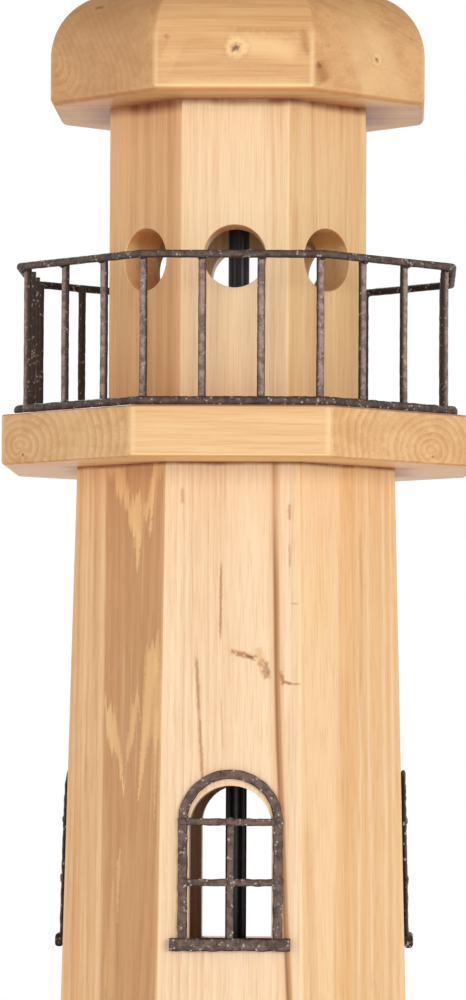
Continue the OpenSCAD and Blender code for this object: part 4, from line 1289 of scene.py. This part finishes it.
def backdrop():
    """White surroundings: plain white to the camera and in reflections, a softer grey-white as light."""
    world = bpy.data.worlds.new("surroundings")
    bpy.context.scene.world = world
    world.use_nodes = True
    nodes = Nodes(world.node_tree)
    nodes.tree.nodes.clear()
    camera, glossy, clear = (nodes.node("LightPath", output=ray)
                             for ray in ("Is Camera Ray", "Is Glossy Ray", "Is Transmission Ray"))
    seen = nodes.math("MAXIMUM", camera, nodes.math("MAXIMUM", glossy, clear))
    light, white = (nodes.node("Background", inputs={"Color": (1, 1, 1), "Strength": strength})
                    for strength in (AMBIENT, 1))
    mixed = nodes.node("MixShader", inputs={0: seen, 1: light, 2: white})
    nodes.feed(nodes.tree.nodes.new("ShaderNodeOutputWorld").inputs[0], mixed)


def floor():
    """Plain pale floor that fades into the white surroundings."""
    points, faces = surface(rounds(profile((1, 0), (FLOOR_FADE, 0), (FLOOR_R, 0)), 96))
    piece = new_object("floor", (points, [face[::-1] for face in faces[:-2]]))
    finish = Finish("floor_pale", (0.90, 0.90, 0.90))
    edge = finish.vector("LENGTH", finish.coords()).rise(FLOOR_FADE * MM, (FLOOR_R - 20) * MM)
    finish.set(Roughness=0.8)
    opaque, clear = Signal(finish, finish.shader.outputs[0]), finish.node("BsdfTransparent")
    mixed = finish.node("MixShader", inputs={0: edge, 1: opaque, 2: clear})
    finish.feed(finish.tree.nodes["Material Output"].inputs[0], mixed)
    paint(piece, finish.material)


def soft_light(name, place, target, size, power):
    """Square soft box aimed at a target."""
    data = bpy.data.lights.new(name, "AREA")
    data.size = size
    data.energy = power
    aim = (Vector(place) - Vector(target)).to_track_quat("Z", "Y")
    placed(name, data).matrix_world = Matrix.Translation(place) @ aim.to_matrix().to_4x4()


backdrop()
floor()
soft_light("key_light", (1.95, -2.95, 1.35), (0, 0, 0.95), 1.2, 45)
soft_light("fill_light", (-1.9, -2.3, 1.1), (0, 0, 0.9), 1.6, 13.2)
soft_light("low_light", (0.1, -2.8, 0.35), (0, 0, 1.0), 1.4, 12.6)
soft_light("back_light", (-0.6, 2.7, 2.7), (0, 0, 1.0), 1.0, 46)
bpy.context.scene.view_settings.view_transform = "Standard"


# Saddle, harp and socket

HARP_LEG = 33
LEG_TALL = 20
BOW_R = 60
BOW_SWING = 20 / 45
BOW_SIN, BOW_COS = math.sin(EIGHTH * BOW_SWING), math.cos(EIGHTH * BOW_SWING)
SPREAD = 50
HARP_HALF = HARP_LEG + 2 * BOW_R * (1 - BOW_COS) + SPREAD * BOW_SIN
HARP_SIDE = LEG_TALL + 2 * BOW_R * BOW_SIN + SPREAD * BOW_COS
STRAP_THICK = 1.6
SEAT_HEIGHT = 229
SEAT_TALL = 4
STUD_TALL = 14
HARP_CROWN = SEAT_HEIGHT - STRAP_THICK - SEAT_TALL - HARP_HALF
KEY_HEIGHT = (foot_of("switch_key") + head_of("switch_key")) / 2
THREAD_PITCH = 3.6


def saddle():
    """Strap with a round bore, softened edges and rounded corners, |x / a| ** 12 + |y / b| ** 12 = 1, and a turned-up
    tongue at each end."""
    thick, soft, low = STRAP_THICK, 0.4, foot_of("harp_saddle")
    way = circle(1, 160)
    rim = way * ((np.abs(way) / (HARP_LEG + thick / 2, PIPE_R + 4)) ** 12).sum(axis=-1, keepdims=True) ** (-1 / 12)
    hole, eased = way * (PIPE_R + 0.3), rim - way * soft
    shapes = [layers([(hole, 0), (eased, 0), (rim, soft), (rim, thick - soft), (eased, thick), (hole, thick)], low)]
    for place in (-HARP_LEG, HARP_LEG):
        path = straight((place, 0, low + 1), (place, 0, low + 12.6), 2)
        shapes.append(swept(path, bar_section(4, thick, 16, 8), OUT))
    dress("harp_saddle", together(shapes), brass)


def harp():
    """Brass wire: up from each leg, out along two counter-curves, and over the bulb in a half circle; sleeves at its
    feet, and the shade's seat and threaded stud on top."""
    rise = profile((HARP_LEG, 17), arc(HARP_LEG + BOW_R, LEG_TALL, BOW_R, 4, 4 - BOW_SWING, 10),
                   arc(HARP_HALF - BOW_R, HARP_SIDE, BOW_R, -BOW_SWING, 0, 10))
    line = profile(rise, arc(0, HARP_CROWN, HARP_HALF, 0, 4, 60), rise[::-1] * (-1, 1))
    path = np.column_stack([line[:, 0], np.zeros(len(line)), line[:, 1] + foot_of("harp")])
    sleeve = spun("harp", (2.35, 12.3), (2.35, 0), (3.6, 0), (4, 0.4), (4, 3), arc(3.8, 4, 0.55, -2, 2, 7), (3.75, 5.4),
                  (3.75, 14.6), arc(3.7, 15.6, 0.5, -2, 2, 7), (3.5, 16.6), (2.6, 18), (2.0, 18.4), count=48,
                  ring=False)
    top = tall_of("harp") - STUD_TALL
    low = top - SEAT_TALL
    seat = spun("harp", (4.5, low - 1.5), (6, low), arc(8.2, low + 0.8, 0.8, -2, 0, 5),
                arc(8.2, top - 0.8, 0.8, 0, 2, 5), (3.3, top), count=64, ring=False)
    stud = threaded(3.1, head_of("harp") - STUD_TALL - 1, head_of("harp"), 0.9, 0.35, 48)
    sleeves = [moved(sleeve, Matrix.Translation((place, 0, 0))) for place in (-HARP_LEG, HARP_LEG)]
    dress("harp", together([swept(path, circle(2), (0, 1, 0)), *sleeves, seat, surface(stud)]), brass, 50)


def key_bar(first, last, section, step=2):
    """Section carried along the switch key's axis, out to the front."""
    return swept(straight((0, first, KEY_HEIGHT), (0, last, KEY_HEIGHT), step), section, OUT)


def socket():
    """Spun socket: a cup with two beads on the pipe's end, a shell with a rolled rim, and a rolled thread inside."""
    bore = PIPE_R + 0.05
    cup = spun("socket_cap", (bore, 0), (8.65, 0), (9.05, 0.4), (9.05, 5.6), ogee((9.05, 6), (17.0, 12.6), 14),
               arc(17.0, 14.2, 0.45, -2, 2, 7), (17.0, 15), (17.0, 19.6), arc(17.0, 20.6, 0.45, -2, 2, 7), (17.1, 21.7),
               (16.8, 22), (16.2, 22), (16.2, 13), (bore, 13))
    dress("socket_cap", cup, bright_brass, 50)
    tall = tall_of("socket_shell")
    shell = spun("socket_shell", (15.4, 0), (16, 0), (16, 12), arc(15.85, 20, 0.5, -1.6, 1.6, 9), (16, 21),
                 (16, tall - 4), arc(16.6, tall - 1.2, 1.2, -1.8, 3.6, 16), (15.4, tall - 1.4))
    piece = dress("socket_shell", shell, bright_brass, 50)
    cut(piece, key_bar(-8, -22, circle(3, 32)))
    paint(piece, bright_brass)
    low, high = foot_of("socket_thread"), head_of("socket_thread")
    outer = threaded(13.9, low, high, THREAD_PITCH, 0.3)
    inner = threaded(13.55, low, high, THREAD_PITCH, 0.25)[::-1]
    dress("socket_thread", surface(np.concatenate([outer, inner]), ring_rows=True), brass, 50)


def switch_key():
    """Turn key: a stem, a tapered hub and a flat round grip with a rolled rim and dished faces."""
    stem = key_bar(-8.5, -22, circle(2, 32), 1)
    hub = key_bar(-17.9, -23.6, bar_section(6, 3, 32, 3.2)[:, ::-1], 0.4)
    upper = profile(arc(5.3, 0.8, 0.7, 0, 2, 6), (5.3, 1.5), (4.6, 1.45), (3.6, 1.0), (0.5, 0.9))
    grip = surface(rounds(profile(upper[::-1] * (1, -1), upper), 64))
    grip = moved(grip, Matrix.Translation((0, -26, KEY_HEIGHT)))
    dress("switch_key", together([stem, hub, grip]), black_plastic, 50)


def bulb():
    """Screw-base bulb: contact and rolled thread below, a necked opal globe above. The neck is a cubic curve between
    two places and the ways it leaves and meets them."""
    low = foot_of("bulb_base")
    tip = rounds(profile((0.6, 0), (3.2, 0), (4, 0.6), (11, 3.8), (12.4, 4.6)) + (0, low), 64)
    thread = threaded(13.2, low + 5, low + 20, THREAD_PITCH, 0.9)
    collar = rounds(profile((13.2, 21), (13.2, 22.8), (12.9, 23)) + (0, low), 64)
    dress("bulb_base", surface(np.concatenate([tip, thread, collar])), aluminium, 50)
    globe, middle, edge = 30, 80, math.radians(38)
    start, leaving = np.array([12.9, 23]), np.array([0, 22])
    end, meeting = np.array([globe * math.cos(edge), middle - globe * math.sin(edge)]), np.array([0.42, 0.54]) * 34
    share = np.linspace(0, 1, 20)[:-1, None]
    curve = ((2 * share**3 - 3 * share**2 + 1) * start + (share**3 - 2 * share**2 + share) * leaving
             + (3 * share**2 - 2 * share**3) * end + (share**3 - share**2) * meeting)
    glass = spun("bulb_base", curve, arc(0, middle, globe, -edge / EIGHTH, 1.985, 36), ring=False)
    dress("bulb_glass", glass, opal_glass("glass_opal"), 50)


saddle()
harp()
socket()
switch_key()
bulb()


# Shade's wires, finial, feet and bushing

RING_ROD = 1.6
HUB_REACH = 10.2
SPIDER_HEAD = head_of("shade_spider") - RING_ROD
SPIDER_RING = shade_radius(SPIDER_HEAD) - SHADE_WALL - 1.85


def hoop(radius, height):
    """Wire ring against the inside of the cloth, with its welded joint at the back."""
    joint = lump((0, radius, height), (3.0, 1.9, 1.9), 7, 0.08)
    return [swept(polar(radius, around(180), height), circle(RING_ROD, 12), UP, closed=True), joint]


def spider():
    """Head ring and three arms that dip to the hub."""
    hub = foot_of("shade_fitter") + 1.5
    share = np.linspace(0, 1, 40)[:, None]
    arms = []
    for number in range(3):
        way = polar(1, TURN / 4 + number * TURN / 3, 0)
        reach = HUB_REACH + (SPIDER_RING - HUB_REACH) * share
        arms.append(swept(reach * way + (hub + (SPIDER_HEAD - hub) * share) * UP, circle(1.3, 12), UP))
        joint = way * (SPIDER_RING - 1.2) + (0, 0, SPIDER_HEAD)
        arms.append(lump(joint, (2.4, 2.4, 1.7), 9 + number, 0.08))
    dress("shade_spider", together([*hoop(SPIDER_RING, SPIDER_HEAD), *arms]), brass, 50)


def finial():
    """Forged ball on a stepped foot, bored for the stud."""
    low = foot_of("finial")
    points, faces = spun("finial", (STUD_BORE, 12), (STUD_BORE, 0), (7.4, 0), arc(7.4, 0.6, 0.6, -2, 0, 4),
                         arc(7.2, 2.2, 0.8, 0, 2, 5), (5.9, 3.2), (5.2, 4.4), (5.1, 6.2),
                         arc(5.2, 7.4, 0.6, -1.6, 1.6, 5), (5.0, 8.4), arc(0, 18, 11, -1.3, 1.97, 44), count=72,
                         ring=False)
    dent = 0.22 * (points[:, 2] > low + 9) * np.maximum(uneven(points, 7, 31), 0)
    points = points - unit(points - (0, 0, low + 18)) * dent[:, None]
    dress("finial", (points, faces), rail_iron, 50)


def feet():
    """Turned rubber feet: a rounded tread round a shallow hollow."""
    high = head_of("rubber_feet")
    outline = profile((6, 1.2), (9.5, 1.2), (10.2, 0.2), (10.6, 0), (13.4, 0), arc(13.4, 1.2, 1.2, -2, 0, 6),
                      (14.9, high - 0.5), (15, high))
    dress("rubber_feet", together(four_times(surface(rounds(outline, 72)), 145)), rubber, 50)


def bushing():
    """Flanged sleeve that leads the cord in through the back of the plinth."""
    front, reach = reach_of("cord_bushing", 1, 0), tall_of("cord_bushing") / 2
    length = reach_of("cord_bushing", 1) - front
    outline = profile((3.75, 0), (5.2, 0), (5.2, length - 2), (reach - 0.4, length - 2), (reach, length - 1.6),
                      arc(reach - 1, length - 1, 1, 0, 2, 6), arc(4.95, length - 1.2, 1.2, 2, 4, 7))
    place = Matrix.Translation((0, front, foot_of("cord_bushing") + reach)) @ Matrix.Rotation(-TURN / 4, 4, "X")
    dress("cord_bushing", moved(surface(rounds(outline, 72), True), place), black_plastic, 50)


spider()
foot_ring = (foot_of("shade_foot_ring") + head_of("shade_foot_ring")) / 2
dress("shade_foot_ring", together(hoop(reach_of("shade_foot_ring") - RING_ROD, foot_ring)), brass, 50)
washer("shade_fitter", STUD_BORE, brass)
finial()
feet()
bushing()


# Nodes that keep their own solids

raw_plywood = plywood("plywood_birch")
for node in ("tower_foot_disc", "tower_head_disc", "lantern_foot_disc", "lantern_head_disc"):
    paint(NODES[node], raw_plywood)
paint(NODES["ballast_plate"], rough_casting("iron_casting"))
paint(NODES["base_screws"], zinc)
paint(NODES["socket_liner"], fibre_paper)
paint(NODES["socket_core"], black_plastic)
